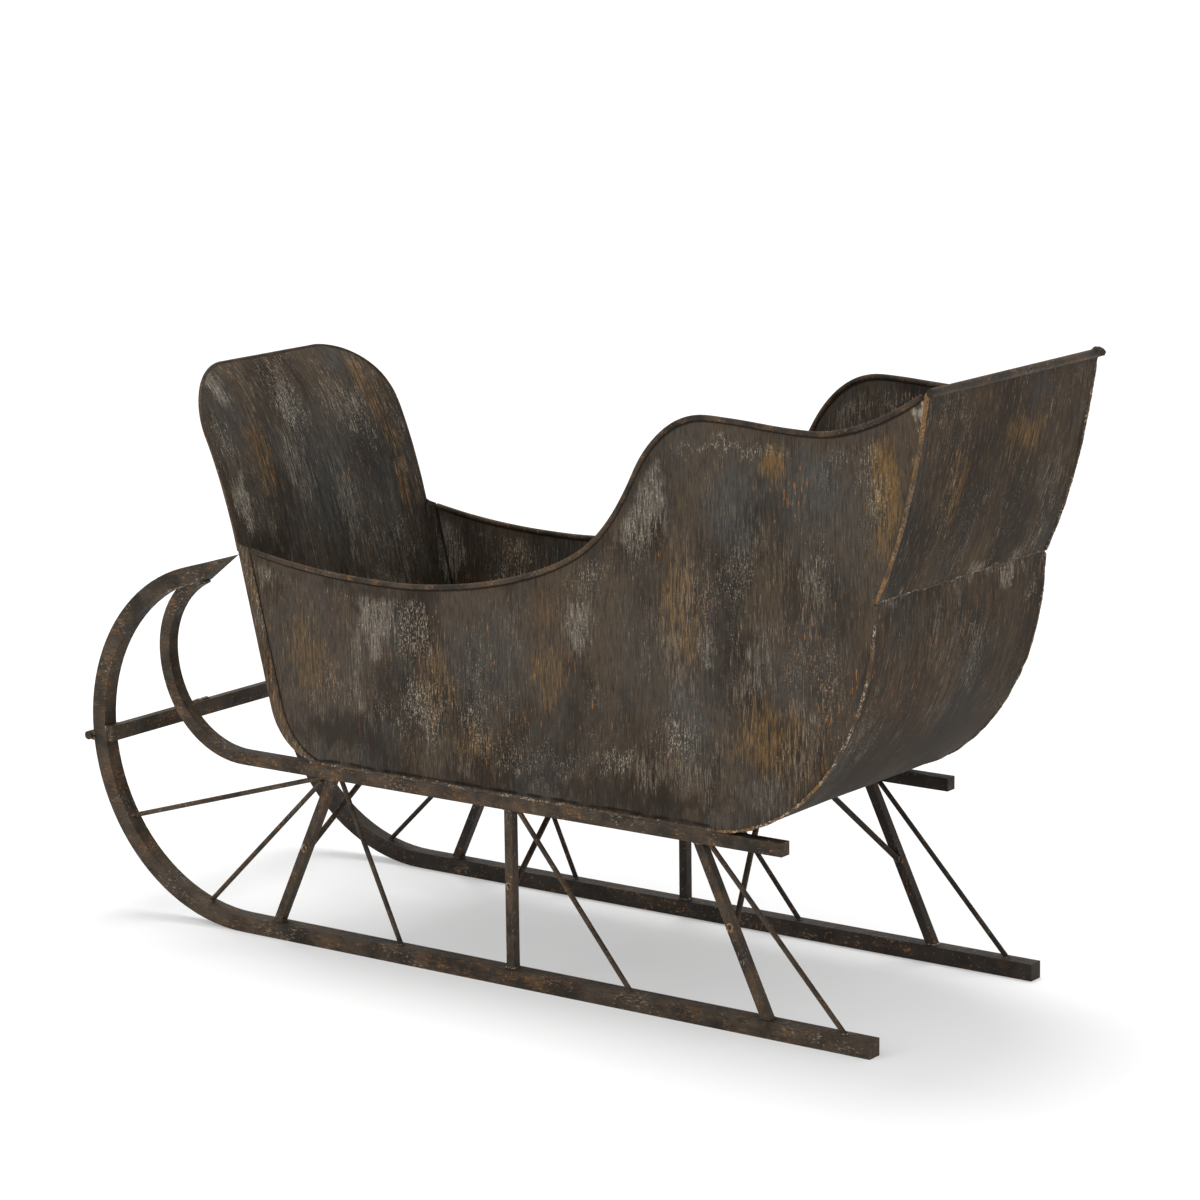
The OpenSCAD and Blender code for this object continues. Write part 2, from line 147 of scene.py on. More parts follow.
class Profile:
    """An outline seen from the side, as (y, z) points, that can be read at any distance along it."""

    def __init__(self, points: Sequence[Point]) -> None:
        """Keeps the points, without repeats, and their distances along the outline."""
        self.points: list[Vector] = []
        for p in points:
            v = Vector(p)
            if not self.points or (v - self.points[-1]).length > 1e-7:
                self.points.append(v)
        self.run = [0.0]
        for a, b in zip(self.points, self.points[1:]):
            self.run.append(self.run[-1] + (b - a).length)

    @property
    def length(self) -> float:
        """Length of the whole outline."""
        return self.run[-1]

    def at(self, distance: float) -> Vector:
        """The point at a distance along the outline."""
        distance = min(max(distance, 0.0), self.length)
        low, high = 0, len(self.run) - 1
        while high - low > 1:
            mid = (low + high) // 2
            low, high = (mid, high) if self.run[mid] <= distance else (low, mid)
        share = (distance - self.run[low]) / (self.run[high] - self.run[low])
        return self.points[low].lerp(self.points[high], share)

    def left(self, distance: float, reach: float = 4 * MM) -> Vector:
        """The direction to the outline's left at a distance along it, as a unit vector."""
        ahead = (self.at(distance + reach) - self.at(distance - reach)).normalized()
        return Vector((-ahead.y, ahead.x))

    def beside(self, distance: float, gap: float) -> Vector:
        """The point a gap to the left of the outline, at a distance along it."""
        return self.at(distance) + self.left(distance) * gap

    def reach_height(self, height: float) -> float:
        """The distance at which a rising outline first reaches a height."""
        for i, (a, b) in enumerate(zip(self.points, self.points[1:])):
            if a.y <= height <= b.y:
                return self.run[i] + (self.run[i + 1] - self.run[i]) * (height - a.y) / max(b.y - a.y, 1e-9)
        return self.length


@dataclass(frozen=True)
class BodyShape:
    """Sizes and outlines of the sheet body."""

    half_width: float = 0.286
    sheet: float = 0.0025
    floor_z: float = 0.358
    middle_y: float = 0.065158
    floor_length: float = 0.880
    sill_height: float = 0.370
    arm_height: float = 0.739
    bead_radius: float = 0.005
    bend_radius: float = 0.125
    dash_lean: float = 13.6
    dash_height: float = 0.719
    dash_reach: float = 0.157
    dash_corner: Point = (0.150, 0.117)
    dash_pull: float = 0.088
    dash_arrival: Point = (0.080, 0.049)
    shoulder_rise: float = 0.031
    flange_width: float = 0.027
    floor_pull: float = 0.200
    knuckle: Point = (0.349, 0.446)
    knuckle_pull: float = 0.244
    flare: float = 0.101
    flare_pull: Point = (0.046, 0.091)
    flare_arrival: Point = (0.022, 0.155)
    back_height: float = 0.812
    roll_radius: float = 0.008

    @property
    def front_y(self) -> float:
        """Where the flat floor begins."""
        return self.middle_y - self.floor_length / 2

    @property
    def rear_y(self) -> float:
        """Where the flat floor ends."""
        return self.middle_y + self.floor_length / 2

    @property
    def dash_bend(self) -> list[Point]:
        """The bend from the floor up into the dash."""
        centre = (self.front_y, self.floor_z + self.bend_radius)
        return arc(centre, self.bend_radius, 270, 180 + self.dash_lean)

    @property
    def shoulder(self) -> Point:
        """Where the dash's straight part ends and its roll-over begins."""
        knee = self.dash_bend[-1]
        top = self.floor_z + self.sill_height + self.shoulder_rise
        return knee[0] - (top - knee[1]) * math.tan(math.radians(self.dash_lean)), top

    @property
    def dash_top(self) -> Point:
        """The dash's top edge."""
        return self.shoulder[0] - self.dash_reach, self.floor_z + self.dash_height

    @property
    def corner_z(self) -> float:
        """The height at which the dash's rounded corners begin."""
        return self.dash_top[1] - self.dash_corner[1]

    @property
    def knuckle_point(self) -> Point:
        """The fold between the lower and the upper back."""
        return self.rear_y + self.knuckle[0], self.floor_z + self.knuckle[1]

    @property
    def back_top(self) -> Point:
        """The back's top edge."""
        return self.knuckle_point[0] + self.flare, self.floor_z + self.back_height

    def dash(self) -> Profile:
        """The dash's outer face, from the floor up."""
        lean, reach = math.radians(self.dash_lean), self.dash_pull
        foot, top = self.shoulder, self.dash_top
        pull = (foot[0] - reach * math.sin(lean), foot[1] + reach * math.cos(lean))
        arrival = (top[0] + self.dash_arrival[0], top[1] - self.dash_arrival[1])
        return Profile(self.dash_bend + bezier(foot, pull, arrival, top))

    def dash_half(self, height: float) -> float:
        """The dash's half-width at a height, with its rounded top corners."""
        width, tall = self.dash_corner
        share = min(max((height - self.corner_z) / tall, 0.0), 1.0)
        return self.half_width - width + width * math.sqrt(max(0.0, 1 - share * share))

    def dash_stops(self, first: float, pitch: float, turns: int, last: float) -> list[float]:
        """Distances up the dash's outline, close together round its corners.

        Args:
            first: Where they start.
            pitch: The steps below the corners.
            turns: How many steps a corner is divided into.
            last: Where they end.

        Returns:
            The distances.
        """
        profile, tall = self.dash(), self.dash_corner[1]
        stops = walk(first, profile.reach_height(self.corner_z), pitch)
        rises = [tall * math.sin(math.pi / 2 * i / turns) for i in range(1, turns)]
        return stops + [profile.reach_height(self.corner_z + rise) for rise in rises] + [last]

    def back_low(self) -> Profile:
        """The lower back's outer face, from the floor up to the knuckle."""
        k, floor = self.knuckle_point, self.floor_z
        pull, arrival = (self.rear_y + self.floor_pull, floor), (k[0], k[1] - self.knuckle_pull)
        return Profile(bezier((self.rear_y, floor), pull, arrival, k))

    def back_high(self) -> Profile:
        """The upper back's outer face, from the knuckle up to the top edge."""
        k, top = self.knuckle_point, self.back_top
        pull = (k[0] + self.flare_pull[0], k[1] + self.flare_pull[1])
        return Profile(bezier(k, pull, (top[0] - self.flare_arrival[0], top[1] - self.flare_arrival[1]), top))

    def bead(self) -> Profile:
        """The middle line of the bead along a side's top edge, front to rear."""
        r, foot, top = self.bead_radius, self.shoulder, self.back_top
        sill = self.floor_z + self.sill_height - r
        arm = self.floor_z + self.arm_height - r
        front, rear = self.front_y, self.rear_y
        start = (foot[0] + self.flange_width / math.cos(math.radians(self.dash_lean)) + r, foot[1] - r - 0.002)
        stations = (  # each with its pulls, arriving and leaving
            (start, (0, 0), (0.112, -0.021)),
            ((front + 0.170, sill), (0.120, 0), (0.160, 0)),
            ((rear - 0.234, sill + 0.133), (0.090, 0.090), (0.034, 0.034)),
            ((rear - 0.152, arm - 0.117), (0.024, 0.048), (0.030, 0.060)),
            ((rear + 0.003, arm), (0.073, 0), (0.067, 0)),
            ((rear + 0.210, arm - 0.010), (0.065, 0), (0.075, -0.002)),
            ((top[0] - self.roll_radius - r, top[1] - self.roll_radius), (0.073, 0.048), (0, 0)),
        )
        points: list[Point] = []
        for (a, _, out), (b, into, _) in zip(stations, stations[1:]):
            points += bezier(a, (a[0] + out[0], a[1] + out[1]), (b[0] - into[0], b[1] - into[1]), b, 16)
        return Profile(points)


@dataclass(frozen=True)
class GearShape:
    """Sizes of the runners, rails and what stands between them."""

    bar_x: float = 0.278
    runner_bar: float = 0.032
    rail_bar: float = 0.025
    rail_z: float = 0.333
    post_bar: float = 0.0175
    post_inset: float = 0.020
    post_splay: float = 0.142
    brace_z: float = 0.188
    brace_reach: float = 0.145
    stay: float = 0.0095
    stay_runs: tuple[float, float, float] = (0.136, 0.247, 0.282)
    curl_radii: Point = (0.372, 0.345)
    curl_lead: float = 0.206
    curl_stay_reach: float = 0.091
    nose_stay_z: float = 0.188
    heel_angle: float = 99.2
    weld_end: float = 116.0

    @property
    def tall(self) -> float:
        """The height from the runner's top to the rail's underside."""
        return self.rail_z - self.runner_bar


BODY_SHAPE = BodyShape()
GEAR = GearShape()


# ---------------------------------------------------------------- finishes


@dataclass(frozen=True)
class Stain:
    """A stain on a sheet: its middle across and up the sheet, its half-sizes and its strength."""

    across: float
    height: float
    width: float
    tall: float
    strength: float = 1.0


class Graph:
    """A material's node tree, built with short calls."""

    def __init__(self, name: str, offset: float = 0.0, laid: bool = False) -> None:
        """Starts a material whose coordinates are in metres.

        Args:
            name: The material's name.
            offset: How far its pattern is moved, so that like finishes don't repeat.
            laid: Whether the coordinates are those kept on a sheet's points, across and up it, or the frame's.
        """
        self.material = bpy.data.materials.new(name)
        self.material.use_nodes = True
        self.tree = self.material.node_tree
        self.tree.nodes.clear()
        self.shader = self.node("BsdfPrincipled")
        self.node("OutputMaterial", {"Surface": self.shader.outputs["BSDF"]})
        if laid:
            self.true_place = self.node("Attribute", attribute_name="lay").outputs["Vector"]
        else:
            self.true_place = self.node("TexCoord").outputs["Object"]
        self.place = self.moved(self.true_place, (1, 1, 1), (offset, 0.37 * offset, -0.61 * offset))

    def node(self, kind: str, inputs: dict[str | int, object] | None = None, **settings: object) -> bpy.types.Node:
        """A new node.

        Args:
            kind: Its kind, without the usual first part of its name.
            inputs: A value or a socket for each input that is fed.
            settings: Its settings.

        Returns:
            The node.
        """
        node = self.tree.nodes.new(f"ShaderNode{kind}")
        for name, value in settings.items():
            setattr(node, name, value)
        for name, value in (inputs or {}).items():
            self.link(value, node.inputs[name])
        return node

    def link(self, value: Value | Sequence[float], target: Socket) -> None:
        """Feeds a socket from another socket, or sets it to a plain value."""
        if isinstance(value, Socket):
            self.tree.links.new(value, target)
        else:
            target.default_value = value

    def moved(self, place: Socket, scale: Sequence[float], shift: Sequence[float] = (0, 0, 0)) -> Socket:
        """Coordinates scaled and moved along each axis."""
        return self.node("Mapping", {"Vector": place, "Scale": scale, "Location": shift}).outputs["Vector"]

    def noise(self, scale: float, stretch: float = 1.0, detail: float = 4.0, rough: float = 0.55, shift: float = 0.0,
              along: int = 2) -> Socket:
        """Cloudy noise from 0 to 1, in grains of about 1 / scale metres.

        Args:
            scale: Grains to a metre.
            stretch: How many times longer a grain is along one axis.
            detail: Octaves.
            rough: How strong the finer octaves are.
            shift: Moves the pattern.
            along: The axis of that stretch: 0 for X, 1 for Y or 2 for Z.

        Returns:
            The noise's value.
        """
        place = self.moved(self.place, [1 / stretch if axis == along else 1.0 for axis in range(3)], (shift,) * 3)
        inputs = {"Vector": place, "Scale": scale, "Detail": detail, "Roughness": rough}
        return self.node("TexNoise", inputs).outputs["Fac"]

    def pits(self, scale: float, shift: float) -> Socket:
        """The distance to the middle of the nearest of many scattered pits."""
        place = self.moved(self.place, (1, 1, 1), (shift,) * 3)
        return self.node("TexVoronoi", {"Vector": place, "Scale": scale}).outputs["Distance"]

    def step(self, value: Value, low: float, high: float, to: tuple[float, float] = (0.0, 1.0)) -> Socket:
        """Eases a value from one number to another.

        Args:
            value: The value to read.
            low: Where the step begins.
            high: Where it ends.
            to: What it gives before and after.

        Returns:
            The eased value.
        """
        inputs = {"Value": value, "From Min": low, "From Max": high, "To Min": to[0], "To Max": to[1]}
        return self.node("MapRange", inputs, interpolation_type="SMOOTHSTEP").outputs["Result"]

    def joined(self, kind: str, *values: Value) -> Value:
        """Several values joined by one operation."""
        result = values[0]
        for value in values[1:]:
            result = self.node("Math", {0: result, 1: value}, operation=kind).outputs[0]
        return result

    def product(self, *values: Value) -> Value:
        """The product of several values."""
        return self.joined("MULTIPLY", *values)

    def total(self, *values: Value) -> Value:
        """The sum of several values."""
        return self.joined("ADD", *values)

    def most(self, *values: Value) -> Value:
        """The largest of several values."""
        return self.joined("MAXIMUM", *values)

    def blend(self, share: Value, under: Socket | Colour, over: Socket | Colour) -> Socket:
        """One colour laid over another by a share from 0 to 1."""
        first, second = (c if isinstance(c, Socket) else (*c, 1.0) for c in (under, over))
        return self.node("Mix", {"Factor": share, 6: first, 7: second}, data_type="RGBA").outputs[2]

    def vector(self, kind: str, a: Socket, b: Socket | Sequence[float], out: str = "Vector") -> Socket:
        """What an operation on two vectors gives."""
        return self.node("VectorMath", {0: a, 1: b}, operation=kind).outputs[out]

    def ragged_place(self, scale: float, reach: float) -> Socket:
        """The true coordinates, pushed about by noise so that what is laid out on them has a ragged outline."""
        place = self.moved(self.place, (1, 1, 0.45))
        cloud = self.node("TexNoise", {"Vector": place, "Scale": scale, "Detail": 5, "Roughness": 0.65})
        push = self.vector("SUBTRACT", cloud.outputs["Color"], (0.5, 0.5, 0.5))
        push = self.vector("MULTIPLY", push, (reach, reach, 2 * reach))
        return self.vector("ADD", self.true_place, push)

    def spots(self, place: Socket, stains: Sequence[Stain]) -> Value:
        """Where any of several stains lies.

        Args:
            place: Coordinates across and up the sheet.
            stains: The stains.

        Returns:
            A share from 0 to 1, or a plain 0 for no stains.
        """
        masks: list[Value] = []
        for stain in stains:
            gap = self.vector("SUBTRACT", place, (stain.across, 0, stain.height))
            gap = self.vector("MULTIPLY", gap, (1 / stain.width, 0, 1 / stain.tall))
            size = self.vector("LENGTH", gap, (0, 0, 0), "Value")
            masks.append(self.step(size, 1.35, 0.35, (0.0, stain.strength)))
        return self.most(*masks) if masks else 0.0

    def attribute(self, name: str) -> Socket:
        """A number stored on the mesh's points."""
        return self.node("Attribute", attribute_name=name).outputs["Fac"]

    def finish(self, colour: Socket, roughness: Socket, height: Value, depth: float, specular: float) -> Finish:
        """Closes the tree.

        Args:
            colour: The surface's colour.
            roughness: Its roughness.
            height: Its relief, from 0 to 1.
            depth: The height of that relief, in metres.
            specular: How strongly it mirrors.

        Returns:
            The finished material.
        """
        bump = self.node("Bump", {"Distance": depth, "Height": height})
        values = {
            "Base Color": colour, "Roughness": roughness, "Normal": bump.outputs["Normal"],
            "Specular IOR Level": specular,
        }
        for name, value in values.items():
            self.link(value, self.shader.inputs[name])
        return self.material


class Wear(Enum):
    """The kinds of mark on old sheet steel: stains, wear and darker patches."""

    HAZE = "haze"
    CHIPS = "chips"
    OCHRE = "ochre"
    ORANGE = "orange"
    BLUE = "blue"
    # darker patches: low ones darken the sheets towards the bottom, and a thin one just under the front of the left
    # bead is painted shade
    DARK = "dark"
    BARE = "bare"


Stains = dict[Wear, Sequence[Stain]]


@dataclass(frozen=True)
class WornSheet:
    """Old sheet steel: brushed dark coat, rust in upright streaks, pale scuffs, bluish bare patches, and a near-black
    line for the real split along a side's foot and for painted shade under the bead and along the flange's edge.
    """

    name: str
    offset: float = 0.0
    laid: bool = True
    stains: Stains = field(default_factory=dict)
    ground: Colour = (0.067, 0.056, 0.045)
    deep: Colour = (0.024, 0.019, 0.015)
    brown: Colour = (0.090, 0.060, 0.034)
    ochre: Colour = (0.205, 0.114, 0.037)
    orange: Colour = (0.36, 0.140, 0.034)
    haze: Colour = (0.215, 0.185, 0.148)
    pale: Colour = (0.56, 0.50, 0.40)
    blue: Colour = (0.070, 0.074, 0.072)
    # near-black: the real split at a side's foot, and painted shade under the bead and beside the flange's edge
    crack_and_shade_line: Colour = (0.008, 0.006, 0.005)
    scuffs: float = 1.0

    def build(self) -> Finish:
        """Makes the material."""
        g = Graph(self.name, self.offset, self.laid)
        streak = g.noise(520, 13, 5, 0.74)
        band = g.noise(170, 12, 5, 0.72, 3.1)
        grit = g.noise(390, 2.2, 5, 0.74, 9.4)
        tone = g.noise(7.0, 1.7, 5, 0.62, 11.9)
        rusty = g.noise(8.0, 2.3, 4, 0.6, 4.9)
        ragged = g.ragged_place(22, 0.10)
        border = g.step(g.attribute("rim") if self.laid else 1.0, 0.016, 0.040)
        brush = g.total(g.product(streak, 0.55), g.product(band, 0.45))

        def spots(kind: Wear) -> Value:
            """Where the stains of one kind lie."""
            return g.spots(ragged, self.stains.get(kind, ()))

        def gathered(kind: Wear, cloud: Socket, low: float, high: float, most: float) -> Value:
            """Where a kind of wear gathers: in drifts of a cloud, and in its stains."""
            return g.most(g.step(cloud, low, high, (0.0, most)), spots(kind))

        def grown(texture: Value, mask: Value, pull: float, low: float, high: float) -> Socket:
            """Where a texture, helped on by a mask, rises through a step: thick in the mask, sparse round it."""
            return g.step(g.total(texture, g.product(mask, pull)), low, high)

        # the dark coat, its brown parts and its cold grey ones
        colour = g.blend(g.step(tone, 0.38, 0.66), self.ground, self.deep)
        browned = grown(brush, g.step(rusty, 0.35, 0.65), 0.12, 0.50, 0.64)
        colour = g.blend(g.product(browned, 0.6), colour, self.brown)
        cool = gathered(Wear.BLUE, g.noise(4.2, 1.6, 4, 0.6, 21.7), 0.48, 0.66, 0.6)
        colour = g.blend(g.product(cool, g.step(band, 0.36, 0.62, (0.4, 1.0)), 0.75), colour, self.blue)
        # rust in streaks and sparks
        rust = gathered(Wear.OCHRE, rusty, 0.54, 0.74, 0.6)
        colour = g.blend(g.product(grown(brush, rust, 0.17, 0.56, 0.73), border, 0.66), colour, self.ochre)
        few = gathered(Wear.ORANGE, g.noise(6, 1.5, 3, 0.6, 2.7), 0.52, 0.68, 0.6)
        spark = grown(g.noise(210, 6, 3, 0.62, 8.3), few, 0.085, 0.665, 0.70)
        colour = g.blend(g.product(spark, border, 0.72), colour, self.orange)
        # pale scuffs, chips and scratches
        hazy = gathered(Wear.HAZE, g.noise(5.0, 1.9, 4, 0.62, 15.1), 0.47, 0.70, 0.75)
        veil = g.product(grown(brush, hazy, 0.17, 0.56, 0.73), border, 0.62 * self.scuffs)
        colour = g.blend(veil, colour, self.haze)
        crowd = gathered(Wear.CHIPS, g.noise(10.5, 1.8, 4, 0.62, 5.5), 0.44, 0.70, 0.85)
        crowd = g.most(crowd, g.product(hazy, 0.8))
        chips = g.product(grown(grit, crowd, 0.105, 0.645, 0.70), border, self.scuffs)
        lines = g.product(grown(streak, crowd, 0.085, 0.640, 0.70), border, 0.75 * self.scuffs)
        bare = g.product(spots(Wear.BARE), g.step(grit, 0.36, 0.50, (0.35, 1.0)))
        chips = g.most(chips, lines, bare)
        colour = g.blend(g.product(chips, 0.72), colour, self.pale)
        # dark brush lines, darker patches, and a near-black line: the real split along a side's foot, and painted shade
        # under the bead and along the flange's edge
        for texture, start, share in ((streak, 0.53, 0.72), (band, 0.50, 0.40)):
            colour = g.blend(g.step(texture, start, 0.36, (0.0, share)), colour, self.deep)
        # darker patches: low on the sheets they darken them towards the bottom; just under the front of the left bead
        # one is painted shade
        colour = g.blend(g.product(spots(Wear.DARK), 0.7), colour, self.deep)
        # near-black line: the real split at a side's foot, and painted shade just under the bead and beside the
        # flange's edge
        if self.laid:
            colour = g.blend(g.step(g.attribute("crack_and_shade_gap"), 0.0055, 0.0015, (0.0, 0.85)), colour, self.crack_and_shade_line)
        height = g.total(g.product(streak, 0.5), g.total(g.product(band, 0.3), g.product(chips, 0.5)))
        return g.finish(colour, g.step(brush, 0.3, 0.7, (0.55, 0.80)), height, 0.45 * MM, 0.05)


@dataclass(frozen=True)
class OldBar:
    """Old bar steel: dark brown scale with pits, rust blooms and chips."""

    name: str
    offset: float = 0.0
    ground: Colour = (0.060, 0.043, 0.028)
    deep: Colour = (0.018, 0.014, 0.010)
    bloom: Colour = (0.120, 0.066, 0.029)
    pale: Colour = (0.22, 0.18, 0.135)
    orange: Colour = (0.30, 0.115, 0.030)
    wear: float = 1.0
    drawn: float = 1.0
    along: int = 2

    def build(self) -> Finish:
        """Makes the material, with its grain drawn out along the bar."""
        g = Graph(self.name, self.offset)
        cloud = g.noise(16, 1, 5, 0.62)
        grain = g.noise(300, self.drawn, 5, 0.72, 2.2, self.along)
        blooms = g.noise(34, math.sqrt(self.drawn), 5, 0.66, 6.8, self.along)
        pits = g.pits(330, 4.4)
        colour = g.blend(g.step(cloud, 0.36, 0.66), self.ground, self.deep)
        bloomed = g.product(g.step(blooms, 0.45, 0.68), g.step(grain, 0.40, 0.60), 0.85)
        colour = g.blend(bloomed, colour, self.bloom)
        sparks = g.total(g.noise(170, 1, 3, 0.6, 9.9), g.product(g.step(blooms, 0.45, 0.65), 0.06))
        colour = g.blend(g.product(g.step(sparks, 0.66, 0.70), 0.75), colour, self.orange)
        crowd = g.step(g.noise(13, 1, 3, 0.6, 3.6), 0.45, 0.68, (0.0, 0.12))
        chips = g.total(g.noise(300, math.sqrt(self.drawn), 4, 0.68, 5.3, self.along), crowd)
        colour = g.blend(g.product(g.step(chips, 0.66, 0.70), self.wear, 0.7), colour, self.pale)
        colour = g.blend(g.step(grain, 0.50, 0.36, (0.0, 0.6)), colour, self.deep)
        height = g.total(g.product(grain, 0.6), g.product(g.step(pits, 0.0, 0.35), 0.5))
        return g.finish(colour, g.step(grain, 0.3, 0.7, (0.48, 0.74)), height, 0.5 * MM, 0.18)


@dataclass(frozen=True)
class SeamRust:
    """Weld metal: golden brown rust over grey spatter, with hardly a fleck above the height it is golden from; on the
    left corner seam the dense pale flecks below that height are partly real spatter and partly painted highlight.
    """

    name: str
    ground: Colour = (0.070, 0.046, 0.026)
    gold: Colour = (0.185, 0.100, 0.036)
    pale: Colour = (0.52, 0.44, 0.34)
    dark: Colour = (0.040, 0.026, 0.016)
    gilt: float = 0.5
    flecks: float = 0.8
    golden_from: float = 9.0

    def build(self) -> Finish:
        """Makes the material."""
        g = Graph(self.name)
        height = g.node("SeparateXYZ", {0: g.true_place}).outputs["Z"]
        # above golden_from the pale flecks thin out; below it they stay dense, on the left corner seam partly as
        # painted highlight
        sparse = g.step(height, self.golden_from - 0.02, self.golden_from + 0.02, (1.0, 0.25))
        cloud = g.noise(30, 2, 4, 0.6)
        grain = g.noise(260, 1, 3, 0.6, 2.9)
        colour = g.blend(g.step(cloud, 0.62 - 0.3 * self.gilt, 0.78 - 0.3 * self.gilt), self.ground, self.gold)
        chips = g.product(g.step(grain, 0.50, 0.60), g.step(g.noise(34, 1, 3, 0.6, 7.1), 0.42, 0.58))
        colour = g.blend(g.product(chips, sparse, self.flecks), colour, self.pale)
        colour = g.blend(g.step(grain, 0.52, 0.38, (0.0, 0.6)), colour, self.dark)
        return g.finish(colour, g.step(grain, 0.3, 0.7, (0.45, 0.7)), grain, 0.5 * MM, 0.18)


@dataclass(frozen=True)
class PaleFloor:
    """The studio's matt white floor, lit a little from within."""

    name: str = "pale_floor"
    tone: float = 0.68
    glow: float = 0.27

    def build(self) -> Finish:
        """Makes the material."""
        material = bpy.data.materials.new(self.name)
        material.use_nodes = True
        values = {
            "Base Color": (self.tone, self.tone, self.tone, 1), "Roughness": 0.9, "Specular IOR Level": 0.0,
            "Emission Color": (1, 1, 1, 1), "Emission Strength": self.glow,
        }
        for name, value in values.items():
            material.node_tree.nodes["Principled BSDF"].inputs[name].default_value = value
        return material


# ---------------------------------------------------------------- mesh tools


def keep_piece(name: str, mesh: bpy.types.Mesh, material: Finish, slot: Slot, *nodes: str) -> None:
    """Places a mesh in the scene as a piece that rides on the sleigh.

    Args:
        name: The piece's name.
        mesh: Its mesh, in the frame's coordinates.
        material: Its finish.
        slot: The record's slot that the finish belongs to; not used.
        nodes: The CAD nodes that it stands for.
    """
    mesh.materials.append(material)
    piece = bpy.data.objects.new(name, mesh)
    bpy.context.scene.collection.objects.link(piece)
    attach(piece, BODY)
    if nodes:
        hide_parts(*nodes)
    log.info("%s: %d faces", name, len(mesh.polygons))


def finish_mesh(name: str, bm: BMesh, angle: float) -> bpy.types.Mesh:
    """Turns a working mesh into a mesh shaded smoothly, apart from edges sharper than an angle in degrees."""
    bmesh.ops.recalc_face_normals(bm, faces=bm.faces)
    mesh = bpy.data.meshes.new(name)
    bm.to_mesh(mesh)
    bm.free()
    mesh.shade_smooth()
    mesh.set_sharp_from_angle(angle=math.radians(angle))
    return mesh


def finish_welds(name: str, bm: BMesh, material: Finish, slot: Slot = Slot.BAR, *nodes: str) -> None:
    """Turns a working mesh of beads and lumps into a piece."""
    keep_piece(name, finish_mesh(name, bm, 60), material, slot, *nodes)


@dataclass(frozen=True)
class SheetPoint:
    """A point of a sheet, and what its finish reads there.

    Its places on both faces, its distance from the dressed edge, its place across and up the sheet, and its distance
    from the nearest near-black line: the real split along a side's foot, and painted shade under the bead and along the
    flange's edge.
    """

    outer: Vector
    inner: Vector
    rim: float
    lay: Point
    crack_and_shade_gap: float = 1.0


def keep_sheet(name: str, rows: list[list[SheetPoint]], material: Finish, node: str) -> None:
    """Makes a closed sheet of two faces as a piece.

    Args:
        name: The piece's name.
        rows: Its points, row by row.
        material: Its finish.
        node: The CAD node that it stands for.
    """
    bm = bmesh.new()
    # the second layer holds the distance to the near-black line: the real split at the foot, and painted shade under
    # the bead and by the flange
    rim, crack_and_shade_gap = (bm.verts.layers.float.new(layer) for layer in ("rim", "crack_and_shade_gap"))
    lay = bm.verts.layers.float_vector.new("lay")
    faces: list[list[list[bmesh.types.BMVert]]] = []
    for face in ("outer", "inner"):
        grid = []
        for row in rows:
            grid.append([bm.verts.new(getattr(point, face)) for point in row])
            for vert, point in zip(grid[-1], row):
                vert[rim], vert[crack_and_shade_gap], vert[lay] = point.rim, point.crack_and_shade_gap, (point.lay[0], 0.0, point.lay[1])
        faces.append(grid)
    out, inn = faces
    lines, columns = range(len(out) - 1), range(len(out[0]) - 1)
    for i in lines:
        for j in columns:
            bm.faces.new((out[i][j], out[i][j + 1], out[i + 1][j + 1], out[i + 1][j]))
            bm.faces.new((inn[i][j], inn[i + 1][j], inn[i + 1][j + 1], inn[i][j + 1]))
    for i in lines:
        bm.faces.new((out[i][0], out[i + 1][0], inn[i + 1][0], inn[i][0]))
        bm.faces.new((out[i + 1][-1], out[i][-1], inn[i][-1], inn[i + 1][-1]))
    for j in columns:
        bm.faces.new((out[0][j + 1], out[0][j], inn[0][j], inn[0][j + 1]))
        bm.faces.new((out[-1][j], out[-1][j + 1], inn[-1][j + 1], inn[-1][j]))
    bmesh.ops.remove_doubles(bm, verts=bm.verts, dist=1e-5)
    keep_piece(name, finish_mesh(name, bm, 35), material, Slot.SHEET, node)


def add_tube(bm: BMesh, path: Sequence[Vector], radius: Radius, sides: int = 10, closed: bool = False,
             up: Vector = Vector((1, 0, 0))) -> None:
    """Adds a round bar along a path to a mesh, with domed ends.

    Args:
        bm: The mesh.
        path: Points along the bar's middle line.
        radius: The bar's radius from a distance along it and an angle round it.
        sides: Points round the bar.
        closed: Whether the bar's end runs into its start.
        up: A direction that the path never takes.
    """
    count = len(path)
    run = 0.0
    rings: list[list[bmesh.types.BMVert]] = []
    for i, here in enumerate(path):
        before = path[i - 1] if i or closed else here
        after = path[(i + 1) % count] if i < count - 1 or closed else here
        ahead = (after - before).normalized()
        across = ahead.cross(up).normalized()
        rise = across.cross(ahead).normalized()
        if i:
            run += (here - path[i - 1]).length
        turns = [2 * math.pi * k / sides for k in range(sides)]
        places = [here + radius(run, t) * (math.cos(t) * across + math.sin(t) * rise) for t in turns]
        rings.append([bm.verts.new(place) for place in places])
    for low, high in list(zip(rings, rings[1:])) + ([(rings[-1], rings[0])] if closed else []):
        for k in range(sides):
            n = (k + 1) % sides
            bm.faces.new((low[k], low[n], high[n], high[k]))
    if not closed:
        for end, tip, back in ((rings[0], path[0], path[1]), (rings[-1], path[-1], path[-2])):
            size = (end[0].co - tip).length
            top = bm.verts.new(tip + (tip - back).normalized() * size * 0.6)
            for k in range(sides):
                bm.faces.new((end[k], end[(k + 1) % sides], top))


